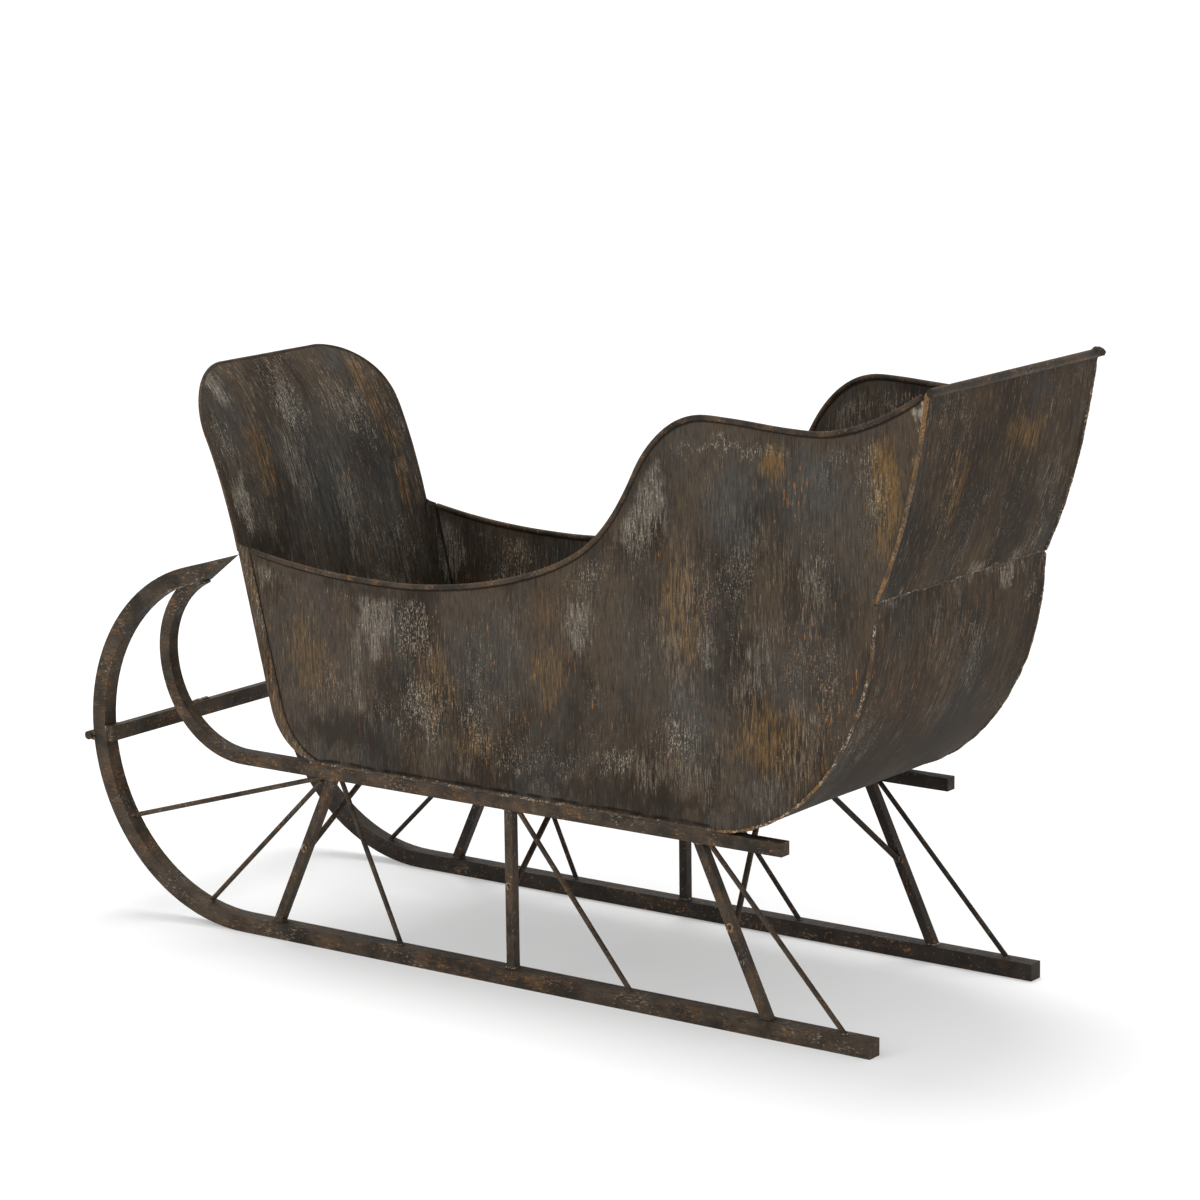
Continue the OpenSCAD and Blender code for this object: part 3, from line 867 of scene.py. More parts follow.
def bead_radius(size: float, pitch: float, wander: float, seed: float) -> Radius:
    """A hand-run weld bead's radius, with a ripple for each pool of metal.

    Args:
        size: Its usual radius, in millimetres.
        pitch: Millimetres from one ripple to the next.
        wander: How much it swells and thins, as a share of its size.
        seed: Tells one bead from another.

    Returns:
        The radius, in metres, as a function of distance and angle.
    """
    pitch *= MM

    def radius(run: float, turn: float) -> float:
        """The radius at a distance along the bead and an angle round it."""
        pool = 0.12 * abs(math.sin(math.pi * run / pitch))
        swell = wander * noise.noise(Vector((run / (2.3 * pitch), math.cos(turn), seed)))
        lump = 0.5 * wander * noise.noise(Vector((run / (0.8 * pitch), 1.7 * math.sin(turn), seed + 9)))
        return size * MM * (1 + pool + swell + lump)

    return radius


def add_blob(bm: BMesh, centre: Vector, size: Sequence[float], seed: float, detail: int = 3) -> None:
    """Adds a lump of spattered metal to a mesh.

    Args:
        bm: The mesh.
        centre: Its middle.
        size: Its half-sizes along X, Y and Z, in millimetres.
        seed: Tells one lump from another.
        detail: How finely it is divided.
    """
    for vert in bmesh.ops.create_icosphere(bm, subdivisions=detail, radius=1.0)["verts"]:
        broad = noise.noise(vert.co * 1.4 + Vector((seed, 0, 0)))
        fine = noise.noise(vert.co * 3.7 + Vector((0, seed, 0)))
        swell = 1 + 0.32 * broad + 0.14 * fine
        vert.co = centre + Vector(c * (s * MM) * swell for c, s in zip(vert.co, size))


# ---------------------------------------------------------------- the body


@dataclass
class SheetBody:
    """The bent and welded sheet body, as a smith's hands leave it: a little wavy between its edges."""

    shape: BodyShape = BODY_SHAPE
    wave: float = 1.3 * MM
    wave_size: float = 0.19
    grid: float = 0.009
    hem: float = 0.028
    bent_ease: float = 0.06
    side_ease: float = 0.05
    flange_reach: float = 0.09
    back_trim: float = 4 * MM
    side_rows: int = 60
    flange_columns: int = 12

    def swell(self, place: Vector, ease: float) -> float:
        """How far the sheet stands out of true at a place.

        Args:
            place: The place.
            ease: A share from 0 at a held edge to 1 in the open.

        Returns:
            The distance, in metres.
        """
        broad = noise.noise((place + Vector((3, 5, 7))) / self.wave_size)
        small = noise.noise((place + Vector((1, 9, 4))) / (self.wave_size / 3.2))
        return self.wave * min(1.0, ease) * (broad + 0.28 * small)

    def bent_sheet(self, name: str, node: str, profile: Profile, stops: Sequence[float], material: Finish,
                   anchor: Point, dash: bool = False) -> None:
        """Makes a sheet bent along an outline, right across the body.

        Args:
            name: The piece's name.
            node: The CAD node that it stands for.
            profile: Its outer face, seen from the side.
            stops: The distances of its rows along the outline.
            material: Its finish.
            anchor: A distance and its height, from which heights up the sheet are told.
            dash: Whether it is the dash, with rounded corners and the body's inside to its right.
        """
        shape = self.shape
        columns = round(2 * shape.half_width / self.grid)
        rows = []
        for s in stops:
            point, into = profile.at(s), profile.left(s) * (-1 if dash else 1)
            reach = shape.dash_half(point.y) if dash else shape.half_width
            row = []
            for j in range(columns + 1):
                x = reach * (2 * j / columns - 1)
                edge = min(reach - abs(x), s - stops[0], stops[-1] - s)
                out = self.swell(Vector((x, point.x, point.y)), edge / self.bent_ease)
                faces = [Vector((x, *(point + into * (depth - out)))) for depth in (0.0, shape.sheet)]
                row.append(SheetPoint(*faces, edge + self.hem, (x, anchor[1] + s - anchor[0])))
            rows.append(row)
        keep_sheet(name, rows, material, node)

    @cached_property
    def flange_line(self) -> list[tuple[Vector, float]]:
        """Points up the dash's outline, with the flange's width at each."""
        dash = self.shape.dash()
        top = dash.reach_height(self.shape.shoulder[1] + 0.02)
        return [(dash.at(s), self.flange_width(dash, s)) for s in walk(0.0, top, 0.003)]

    def flange_gap(self, p: Vector) -> float:
        """How far a point of a side is from the rear edge of the dash's flange."""
        if p.x > self.shape.front_y + self.flange_reach:
            return 1.0
        near, wide = min(self.flange_line, key=lambda item: (item[0] - p).length_squared)
        return abs((near - p).length - wide)

    def crack_gap(self, p: Vector, side: Side) -> float:
        """How far a point of a side is from the real split along its foot, a line that breaks off here and there."""
        if not self.shape.front_y < p.x < self.shape.rear_y + 0.01:
            return 1.0
        wander = 1.6 * MM * noise.noise(Vector((p.x / 0.07, side.value, 2.0)))
        shut = 5 * MM * max(0.0, noise.noise(Vector((p.x / 0.028, 7.0, side.value))) + 0.12)
        return abs(p.y - (self.shape.floor_z + 9.5 * MM + wander)) + 0.8 * MM + shut

    def side_foot(self) -> Profile:
        """The lower outline of a side: down inside the dash, and up inside the back."""
        shape = self.shape
        dash, low, high, bead = shape.dash(), shape.back_low(), shape.back_high(), shape.bead()
        lid, top = dash.reach_height(bead.at(0).y), high.reach_height(bead.at(bead.length).y)
        outline = [tuple(dash.beside(s, -shape.sheet)) for s in walk(lid, 0, self.grid)]
        for part, first, last in ((low, 0, low.length), (high, self.back_trim, top)):
            outline += [tuple(part.beside(s, shape.sheet)) for s in walk(first, last, self.grid)]
        return Profile(outline)

    def side(self, side: Side, material: Finish) -> None:
        """Makes one side, between the floor's outline and the bead, its rows close at the bead and the rail."""
        shape, lower, bead = self.shape, self.side_foot(), self.shape.bead()
        rises = [0.5 - 0.5 * math.cos(math.pi * i / self.side_rows) for i in range(self.side_rows + 1)]
        columns = round(lower.length / self.grid)
        rows = []
        for j in range(columns + 1):
            foot, head = lower.at(j / columns * lower.length), bead.at(j / columns * bead.length)
            span = (head - foot).length
            row = []
            for rise in rises:
                p = foot.lerp(head, rise)
                under = (1 - rise) * span - shape.bead_radius
                # distance to the near-black line: painted shade just under the bead and beside the flange's edge, and
                # the real split at the foot
                gap = min(abs(under), self.flange_gap(p), self.crack_gap(p, side))
                out = self.swell(Vector((side.value, p.x, p.y)), min(rise, 1 - rise) * span / self.side_ease)
                depths = (shape.half_width + out, shape.half_width - shape.sheet + out)
                rim = min((1 - rise) * span, 0.016 + 0.4 * (p.y - shape.floor_z))
                row.append(SheetPoint(*(Vector((side.value * x, *p)) for x in depths), rim, tuple(p), gap))
            rows.append(row)
        keep_sheet(f"side_{side.label}", rows, material, f"side_panel_{side.label}")

    def flange_width(self, profile: Profile, s: float) -> float:
        """How far the dash's flange reaches over the side at a distance up the dash."""
        full, top = self.shape.flange_width, self.shape.shoulder[1] - 7 * MM
        bend = self.shape.bend_radius * math.radians(90 - self.shape.dash_lean)
        height = profile.at(s).y
        if height > top:
            return max(4 * MM, full * (1 - (height - top) / (9 * MM)))
        share = min(max(s / bend, 0.0), 1.0)
        return full * (0.12 + 0.88 * math.sin(math.pi / 2 * share))

    def flange(self, side: Side, material: Finish) -> None:
        """Makes the dash's cushion-edged flange over one side."""
        shape, profile, columns = self.shape, self.shape.dash(), self.flange_columns
        rows = []
        for s in walk(0.0, profile.reach_height(shape.corner_z), 0.006):
            wide = self.flange_width(profile, s)
            row = []
            for j in range(columns + 1):
                share = j / columns
                p = profile.beside(s, -wide * share)
                crown = math.sqrt(max(0.0, 1 - abs(2 * share - 1) ** 3))
                rough = 0.25 * MM * noise.noise(Vector((*p, side.value)) / 0.02)
                lift = 1.35 * shape.sheet * (0.2 + 0.8 * crown) + rough
                faces = [Vector((side.value * (shape.half_width + out), *p)) for out in (lift, -0.4 * MM)]
                row.append(SheetPoint(*faces, 0.03 + wide * min(j, columns - j) / columns, tuple(p)))
            rows.append(row)
        keep_sheet(f"flange_{side.label}", rows, material, f"dash_flange_{side.label}")

    def bead(self, side: Side, material: Finish) -> None:
        """Makes the round bead along one side's top edge."""
        bead = self.shape.bead()
        x = side.value * (self.shape.half_width - self.shape.sheet / 2)

        def radius(run: float, turn: float) -> float:
            """The bar's radius, a little uneven."""
            return self.shape.bead_radius * (1 + 0.06 * noise.noise(Vector((run / 0.05, math.cos(turn), side.value))))

        bm = bmesh.new()
        add_tube(bm, [Vector((x, *bead.at(s))) for s in walk(0, bead.length, 0.006)], radius, 16)
        finish_welds(f"bead_{side.label}", bm, material, Slot.ROUND, f"side_bead_{side.label}")

    def build(self, sheets: dict[str, Finish], rod: Finish) -> None:
        """Makes the body's worked sheets and beads.

        Args:
            sheets: A finish for each sheet, by its name.
            rod: The beads' finish.
        """
        shape = self.shape
        dash, low, high = shape.dash(), shape.back_low(), shape.back_high()
        shoulder, fold = shape.shoulder[1], shape.knuckle_point[1]
        stops = shape.dash_stops(0.0, self.grid, 24, dash.length)
        anchor = (dash.reach_height(shoulder), shoulder)
        self.bent_sheet("dash", "dash_panel", dash, stops, sheets["dash"], anchor, True)
        stops = walk(0.0, low.length, self.grid)
        self.bent_sheet("back_low", "back_lower_panel", low, stops, sheets["back"], (low.length, fold))
        stops = walk(0.0, high.length - self.back_trim, self.grid)
        self.bent_sheet("back_high", "back_upper_panel", high, stops, sheets["back_high"], (0.0, fold))
        for side in Side:
            self.side(side, sheets[side.label])
            self.flange(side, sheets["flange"])
            self.bead(side, rod)


@dataclass
class BodySeams:
    """The weld seams, hems and knobs of the sheet body."""

    shape: BodyShape = BODY_SHAPE
    fold_steps: int = 230
    foot_steps: int = 340
    foot_lumps: int = 34
    corner_lumps: int = 9
    hem_wire: float = 3.5 * MM
    knob_rod: float = 6.4 * MM

    def corner_seam(self, side: Side, material: Finish) -> None:
        """Runs a bead up the corner between one side and the back."""
        shape = self.shape
        bm = bmesh.new()
        x = side.value * (shape.half_width - 0.1 * MM)
        for profile, size, lump, seed in ((shape.back_low(), 2.6, 0.6, 1.3), (shape.back_high(), 3.5, 0.3, 5.1)):
            stops = walk(0.0, profile.length - 6 * MM, 2.5 * MM)
            path = [Vector((x, *profile.beside(s, 0.5 * MM))) for s in stops]
            add_tube(bm, path, bead_radius(size, 9, lump, seed + side.value), 10)
        finish_welds(f"corner_seam_{side.label}", bm, material, Slot.SHEET)

    def knuckle_seam(self, material: Finish) -> None:
        """Runs a ragged bead across the fold of the back."""
        y, z = self.shape.knuckle_point
        reach = 0.995 * self.shape.half_width
        path = []
        for i in range(self.fold_steps + 1):
            x = reach * (2 * i / self.fold_steps - 1)
            broad, fine = (noise.noise(Vector(v)) for v in ((x / 0.03, 0.3, 0.1), (x / 0.011, 4, 2)))
            path.append(Vector((x, y - 0.9 * MM, z + (2.4 * broad + 1.6 * fine) * MM)))
        bm = bmesh.new()
        add_tube(bm, path, bead_radius(2.2, 7, 0.75, 3.3), 9, up=Vector((0, 0, 1)))
        finish_welds("knuckle_seam", bm, material, Slot.SHEET)

    def foot_seam(self, side: Side, material: Finish) -> None:
        """Tacks one side down to its rail, with a run of weld and lumps on it."""
        front, floor, long = self.shape.front_y, self.shape.floor_z, self.shape.floor_length
        x = side.value * (self.shape.half_width + 0.4 * MM)
        start = Vector((x, front, floor + 1.6 * MM))
        bm = bmesh.new()
        path = straight(start, start + Vector((0, long + 0.02, 0)), self.foot_steps)
        add_tube(bm, path, bead_radius(3.8, 19, 0.45, 7.0 + side.value), 8)
        add_blob(bm, Vector((x, front - 16 * MM, floor + 1 * MM)), (4, 15, 6), 8.8)
        for i in range(self.foot_lumps):
            drift = 0.6 * noise.noise(Vector((i * 1.7, side.value, 0)))
            y = front + 0.01 + long * (i + drift) / self.foot_lumps
            big = 1 + 0.7 * noise.noise(Vector((i * 2.3, 4.0, side.value)))
            add_blob(bm, Vector((x, y, floor + 1.2 * MM)), (3.2, 12 * big, 3.8 * big), i, 2)
        finish_welds(f"foot_seam_{side.label}", bm, material, Slot.SHEET)

    def dash_hem(self, material: Finish) -> None:
        """Rolls the dash's free edge over a thin wire."""
        shape, profile = self.shape, self.shape.dash()
        first = profile.reach_height(shape.shoulder[1] - 0.01)
        right = []
        for s in shape.dash_stops(first, 8 * MM, 30, profile.length - 1e-4):
            half = shape.dash_half(profile.at(s).y) - 0.8 * MM
            right.append(Vector((half, *profile.beside(s, -shape.sheet / 2))))
        left = [Vector((-p.x, p.y, p.z)) for p in reversed(right)]
        path = right + straight(right[-1], left[0], 30)[1:-1] + left

        def radius(run: float, turn: float) -> float:
            """The hem's radius, a little uneven along it."""
            return self.hem_wire * (1 + 0.08 * noise.noise(Vector((run / 0.03, 0, 0))))

        bm = bmesh.new()
        add_tube(bm, path, radius, 8, up=Vector((0, 1, 0.35)).normalized())
        finish_welds("dash_hem", bm, material, Slot.SHEET)

    def back_ends(self, pale: Finish, rod: Finish) -> None:
        """Closes the roll's ends: weld lumps at the left corner and a knob at the right."""
        shape = self.shape
        y, z = shape.back_top
        y += shape.roll_radius - shape.sheet
        bm = bmesh.new()
        for i in range(self.corner_lumps):
            wander = [noise.noise(Vector((i * 1.37, k * 2.1, 0.7))) for k in range(3)]
            inward = Vector((-(4 + 1.6 * i), -(10 - 1.3 * i), -(7 - 0.9 * i))) + 2.5 * Vector(wander)
            big = 5.2 + 1.4 * wander[0]
            add_blob(bm, Vector((shape.half_width, y, z)) + inward * MM, (big, 1.2 * big, 0.9 * big), 2.2 * i, 2)
        finish_welds("back_corner_weld", bm, pale, Slot.ROUND)
        end = Vector((-(shape.half_width - 5 * MM), y, z))
        arch = ((-13, -7), (-9, -1), (-4, 3.5), (1, 4.5), (6, 2.5), (10, -2))
        bm = bmesh.new()
        add_tube(bm, [end + Vector((0, *step)) * MM for step in arch], lambda run, turn: self.knob_rod, 14)
        add_blob(bm, end + Vector((10, 0, 1.5)) * MM, (15, 9.5, 10), 3.1)
        finish_welds("back_roll_knob", bm, rod, Slot.ROUND)

    def build(self, welds: dict[str, Finish], rod: Finish) -> None:
        """Makes every seam.

        Args:
            welds: The welds' finishes, by name.
            rod: The rolled edge's finish.
        """
        self.corner_seam(Side.LEFT, welds["gold"])
        self.corner_seam(Side.RIGHT, welds["brown"])
        self.knuckle_seam(welds["fold"])
        for side in Side:
            self.foot_seam(side, welds["brown"])
        self.dash_hem(rod)
        self.back_ends(welds["pale"], rod)


# ---------------------------------------------------------------- the gear


@dataclass
class GearWelds:
    """The welds of the bars and rods under and ahead of the body."""

    shape: GearShape = GEAR
    body: BodyShape = BODY_SHAPE
    stay_slack: float = 1.5 * MM
    crossbar_lumps: int = 9

    @property
    def curl_y(self) -> float:
        """Where the runner's curl begins."""
        return self.body.front_y - self.shape.curl_lead

    def posts(self) -> list[Point]:
        """The top and foot of each pair of posts, as their places along Y."""
        g, b = self.shape, self.body
        front, rear = b.front_y + g.post_inset, b.rear_y - g.post_inset
        return [(front, front - g.post_splay), (b.middle_y, b.middle_y), (rear, rear + g.post_splay)]

    def square_weld(self, bm: BMesh, centre: Vector, half: Point, seed: float) -> None:
        """Runs a bead round the end of a square bar.

        Args:
            bm: The mesh.
            centre: The middle of the bar's end.
            half: The end's half-sizes along X and Y.
            seed: Tells one weld from another.
        """
        signs = ((1, 1), (-1, 1), (-1, -1), (1, -1))
        corners = [centre + Vector((sx * half[0], sy * half[1], 0)) for sx, sy in signs]
        path = []
        for a, b in zip(corners, corners[1:] + corners[:1]):
            path += straight(a, b, 9)[:-1]
        add_tube(bm, path, bead_radius(2.1, 6, 0.7, seed), 7, True, Vector((0, 0, 1)))

    def stay_ends(self) -> list[tuple[Point, float]]:
        """Where the stays meet runner and rail, and how far their slant draws each weld out."""
        g = self.shape
        lean = g.post_bar / 2 * math.hypot(g.post_splay, g.tall) / g.tall + self.stay_slack
        ends: list[tuple[Point, float]] = []
        for (top, _), room, run in zip(self.posts(), (lean, g.post_bar / 2, lean), g.stay_runs):
            y = top + room + 0.9 * g.stay
            stretch = math.hypot(run, g.tall) / g.tall
            ends.append(((y, g.rail_z - 0.6 * MM), stretch))
            ends.append(((y + run, g.runner_bar + 0.6 * MM), stretch))
        return ends

    def stand_welds(self, side: Side, material: Finish, plug: Finish) -> None:
        """Welds the posts and stays of one side to runner and rail.

        Args:
            side: The side.
            material: The welds' finish.
            plug: The finish of the rings of weld on the posts.
        """
        g = self.shape
        x, thick = side.value * g.bar_x, side.value * g.post_bar / 2
        bm, plugs = bmesh.new(), bmesh.new()
        seed = 3.0 + side.value
        for top, foot in self.posts():
            half = (g.post_bar / 2, g.post_bar / 2 * math.hypot(foot - top, g.tall) / g.tall)
            self.square_weld(bm, Vector((x, foot, g.runner_bar + 0.8 * MM)), half, seed)
            self.square_weld(bm, Vector((x, top, g.rail_z - 0.8 * MM)), half, seed + 2)
            at = top + (foot - top) * (g.rail_z - g.brace_z) / g.tall
            circle = ring(Vector((x + thick, at, g.brace_z)), (0, 5.4, 0), (0, 0, 7), 16)
            add_tube(plugs, circle, bead_radius(2.5, 7, 0.6, seed), 7, True)
            add_blob(bm, Vector((x - thick, at, g.brace_z)), (3, 7, 8), seed + 1)
            seed += 4.1
        r = g.stay / 2 / MM + 0.6
        for end, stretch in self.stay_ends():
            collar = ring(Vector((x, *end)), (r, 0, 0), (0, r * stretch, 0), 20)
            add_tube(bm, collar, bead_radius(1.7, 7, 0.8, seed), 6, True, Vector((0, 0, 1)))
            seed += 1.3
        finish_welds(f"stand_welds_{side.label}", bm, material)
        finish_welds(f"plug_welds_{side.label}", plugs, plug)

    def curl_welds(self, side: Side, material: Finish) -> None:
        """Welds the curl and nose stays, and the rail's curl, to the inside of the runner's curl."""
        g = self.shape
        x = side.value * g.bar_x
        low, high = g.curl_radii
        inner = low - g.runner_bar
        bm = bmesh.new()
        nose_y = self.curl_y - math.sqrt(inner**2 - (low - g.nose_stay_z) ** 2)
        foot_z = low - math.sqrt(inner**2 - g.curl_stay_reach**2)
        for k, end in enumerate(((nose_y, g.nose_stay_z), (self.curl_y - g.curl_stay_reach, foot_z))):
            for i, place in enumerate(ring(Vector((x, *end)), (5, 0, 0), (0, 4.5, 3 * (1 - k)), 9)):
                add_blob(bm, place, (2.4, 2.8, 2.4), i + 7 * k + side.value, 2)
        centre, radius = (self.curl_y - low + high, low), high - g.runner_bar
        for offset in (-1, 1):
            edge = x + offset * (g.rail_bar / 2 + 0.5 * MM)
            path = [Vector((edge, *p)) for p in arc(centre, radius - 1 * MM, g.heel_angle + 0.6, g.weld_end, 60)]
            add_tube(bm, path, bead_radius(2.6, 8, 0.9, 2.0 + offset + side.value), 8)
        heel = arc(centre, radius - 2 * MM, g.heel_angle + 0.4, g.heel_angle + 2, 1)[0]
        add_blob(bm, Vector((x, *heel)), (11, 5, 4.5), 4.0 + side.value)
        finish_welds(f"curl_welds_{side.label}", bm, material)

    def front_welds(self, material: Finish) -> None:
        """Welds the crossbar and draft rod to the curls."""
        g = self.shape
        bar_low, bar_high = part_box("crossbar")
        rod_low, rod_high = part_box("draft_rod")
        rod_z = (rod_low.z + rod_high.z) / 2
        bm = bmesh.new()
        for side in Side:
            for edge in (1, -1):
                x = side.value * (g.bar_x + edge * (g.runner_bar / 2 + 0.3 * MM))
                foot, head = (Vector((x, bar_low.y + 1.5 * MM, z)) for z in (bar_low.z, bar_high.z))
                add_tube(bm, straight(foot, head, 12), bead_radius(2.6, 7, 0.8, edge + 2.0 * side.value), 8)
            for edge in (1, -1):
                x = side.value * (g.bar_x + edge * g.runner_bar / 2)
                for rise, tall, seed in ((5, 5, 3), (-6, 4, 5)):
                    place = Vector((x, rod_high.y - 1 * MM, rod_z + rise * MM))
                    add_blob(bm, place, (4, 5, tall), seed * edge + side.value)
        for i in range(self.crossbar_lumps):
            wobble = noise.noise(Vector((i * 1.9, 0.4, 0.8)))
            place = Vector((0.004 + 0.010 * i, bar_low.y + (5 + 3 * wobble) * MM, bar_high.z + 0.5 * MM))
            add_blob(bm, place, (8, 6, 3.4 + 2 * wobble), i * 1.1, 2)
        finish_welds("front_welds", bm, material)

    def beam_welds(self, material: Finish) -> None:
        """Welds the crossbeams to the rails, and the braces to the crossbeams."""
        g = self.shape
        bm = bmesh.new()
        for k, name in enumerate(("front", "middle", "rear")):
            low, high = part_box(f"{name}_crossbeam")
            for side in Side:
                for y in (low.y, high.y):
                    foot, head = (Vector((side.value * high.x, y, z)) for z in (low.z, high.z))
                    add_tube(bm, straight(foot, head, 8), bead_radius(2.2, 6, 0.7, k + y), 7)
                x = side.value * (g.bar_x - g.post_bar / 2 - g.brace_reach)
                middle = Vector((x, (low.y + high.y) / 2, g.rail_z))
                for i, place in enumerate(ring(middle, (8, 0, 0), (0, 5.6, 0), 8)):
                    add_blob(bm, place, (2.6, 2.4, 1.8), i + k, 2)
        finish_welds("beam_welds", bm, material)

    def build(self, welds: dict[str, Finish]) -> None:
        """Makes every weld of the gear, in finishes given by name."""
        for side in Side:
            self.stand_welds(side, welds["brown"], welds["plug"])
            self.curl_welds(side, welds["pale" if side is Side.LEFT else "brown"])
        self.front_welds(welds["brown"])
        self.beam_welds(welds["brown"])


@dataclass
class FrameDress:
    """The finishes and softened edges of the CAD pieces that show."""

    bar_corner: float = 1.1 * MM
    sheet_corner: float = 0.4 * MM

    def dress(self, names: Iterable[str], materials: Sequence[Finish], corner: float) -> None:
        """Gives CAD pieces their finish and softens their corners.

        Args:
            names: The nodes' names.
            materials: Finishes, taken in turn.
            corner: The width of the softened corners, or 0 for none.
        """
        for i, name in enumerate(names):
            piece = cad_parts[name]
            piece.data.materials.clear()
            piece.data.materials.append(materials[i % len(materials)])
            piece.data.shade_smooth()
            piece.data.set_sharp_from_angle(angle=math.radians(35))
            if corner:
                bevel = piece.modifiers.new("soft_corners", "BEVEL")
                bevel.width = corner
                bevel.segments = 2
                bevel.limit_method = "ANGLE"
                bevel.angle_limit = math.radians(50)
                bevel.harden_normals = False
            log.info("%s: dressed", name)

    def build(self, bars: dict[str, list[Finish]], floor: Finish) -> None:
        """Dresses every CAD piece.

        Args:
            bars: Finishes for cross bars, long bars, posts and rods, each list's last a darker copy for the right side,
                with painted shade.
            floor: The finish of the floor and the seat.
        """
        nodes = sorted(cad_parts)
        groups = {
            "long": [n for n in nodes if n.startswith(("runner", "rail"))],
            "post": [n for n in nodes if "_post_" in n],
            "cross": [n for n in nodes if n.endswith(("beam", "crossbar"))],
            "rod": [n for n in nodes if "_stay_" in n or "_brace_" in n or n in ("draft_rod", "back_top_roll")],
        }
        for kind, names in groups.items():
            corner = 0.0 if kind == "rod" else self.bar_corner
            self.dress([n for n in names if not n.endswith("_right")], bars[kind][:-1], corner)
            # the right side's pieces take the darker copies: painted shade
            self.dress([n for n in names if n.endswith("_right")], bars[kind][-1:], corner)
        self.dress(["floor_panel", "seat_pan", "seat_riser"], [floor], self.sheet_corner)


# ---------------------------------------------------------------- the studio


@dataclass
class Studio:
    """A white studio: floor, soft light from the front left, and the camera."""

    azimuth: float = 126.098
    elevation: float = 11.502
    roll: float = -0.716
    distance: float = 7.4886
    target: tuple[float, float, float] = (-0.0027, 0.06816, 0.6739)
    lens: float = 120.58
    sensor: float = 36.0
    sight: float = 400.0
    floor_half: float = 90.0
    floor_drop: float = 0.2 * MM
    sky_strength: float = 0.85
    sun_strength: float = 1.5
    sun_spread: float = 24.0
    panel_strength: float = 60.0
    panel_width: float = 2.6

    def floor(self) -> None:
        """Lays the floor, a hair under the runners."""
        mesh = bpy.data.meshes.new("studio_floor")
        corners = ((-1, -1), (1, -1), (1, 1), (-1, 1))
        mesh.from_pydata([(x * self.floor_half, y * self.floor_half, 0) for x, y in corners], [], [(0, 1, 2, 3)])
        mesh.materials.append(PaleFloor().build())
        floor = bpy.data.objects.new("studio_floor", mesh)
        bpy.context.scene.collection.objects.link(floor)
        floor.location.z = -self.floor_drop

    def light(self, name: str, energy: float, place: Sequence[float], aim: Sequence[float], **shape: object) -> None:
        """Hangs a light.

        Args:
            name: Its name.
            energy: Its strength.
            place: Where it hangs.
            aim: What it points at.
            shape: An area light's shape and size, or a sun's angle.
        """
        data = bpy.data.lights.new(name, "SUN" if "angle" in shape else "AREA")
        data.energy = energy
        for key, value in shape.items():
            setattr(data, key, value)
        lamp = bpy.data.objects.new(name, data)
        lamp.location = place
        lamp.rotation_euler = (Vector(aim) - Vector(place)).to_track_quat("-Z", "Y").to_euler()
        bpy.context.scene.collection.objects.link(lamp)

    def sky(self) -> None:
        """Lights the whole studio evenly with white."""
        world = bpy.data.worlds.new("studio_white")
        world.use_nodes = True
        back = world.node_tree.nodes["Background"]
        back.inputs["Color"].default_value = (1.0, 1.0, 1.0, 1)
        back.inputs["Strength"].default_value = self.sky_strength
        bpy.context.scene.world = world

    def camera(self) -> None:
        """Sets up the camera."""
        a, e, roll = (math.radians(v) for v in (self.azimuth, self.elevation, self.roll))
        back = Vector((math.sin(a) * math.cos(e), -math.cos(a) * math.cos(e), math.sin(e)))
        right = Vector((0, 0, 1)).cross(back).normalized()
        up = back.cross(right)
        tilted = math.cos(roll) * right + math.sin(roll) * up
        top = -math.sin(roll) * right + math.cos(roll) * up
        data = bpy.data.cameras.new("studio_camera")
        data.lens, data.sensor_width, data.clip_end = self.lens, self.sensor, self.sight
        camera = bpy.data.objects.new("studio_camera", data)
        turn = Matrix((tilted, top, back)).transposed().to_4x4()
        camera.matrix_world = Matrix.Translation(Vector(self.target) + back * self.distance) @ turn
        bpy.context.scene.collection.objects.link(camera)
        bpy.context.scene.camera = camera

    def build(self) -> None:
        """Builds the studio."""
        bpy.context.scene.view_settings.view_transform = "Standard"
        self.floor()
        self.sky()
        self.light("key_sun", self.sun_strength, (-1.4, -1.3, 6.0), (0, 0, 0), angle=math.radians(self.sun_spread))
        panel = {"shape": "SQUARE", "size": self.panel_width}
        self.light("left_panel", self.panel_strength, (5.5, -1.5, 2.2), (0, 0, 0.6), **panel)
        self.camera()


# ---------------------------------------------------------------- stains, as (y, z) on a side and (x, height) elsewhere

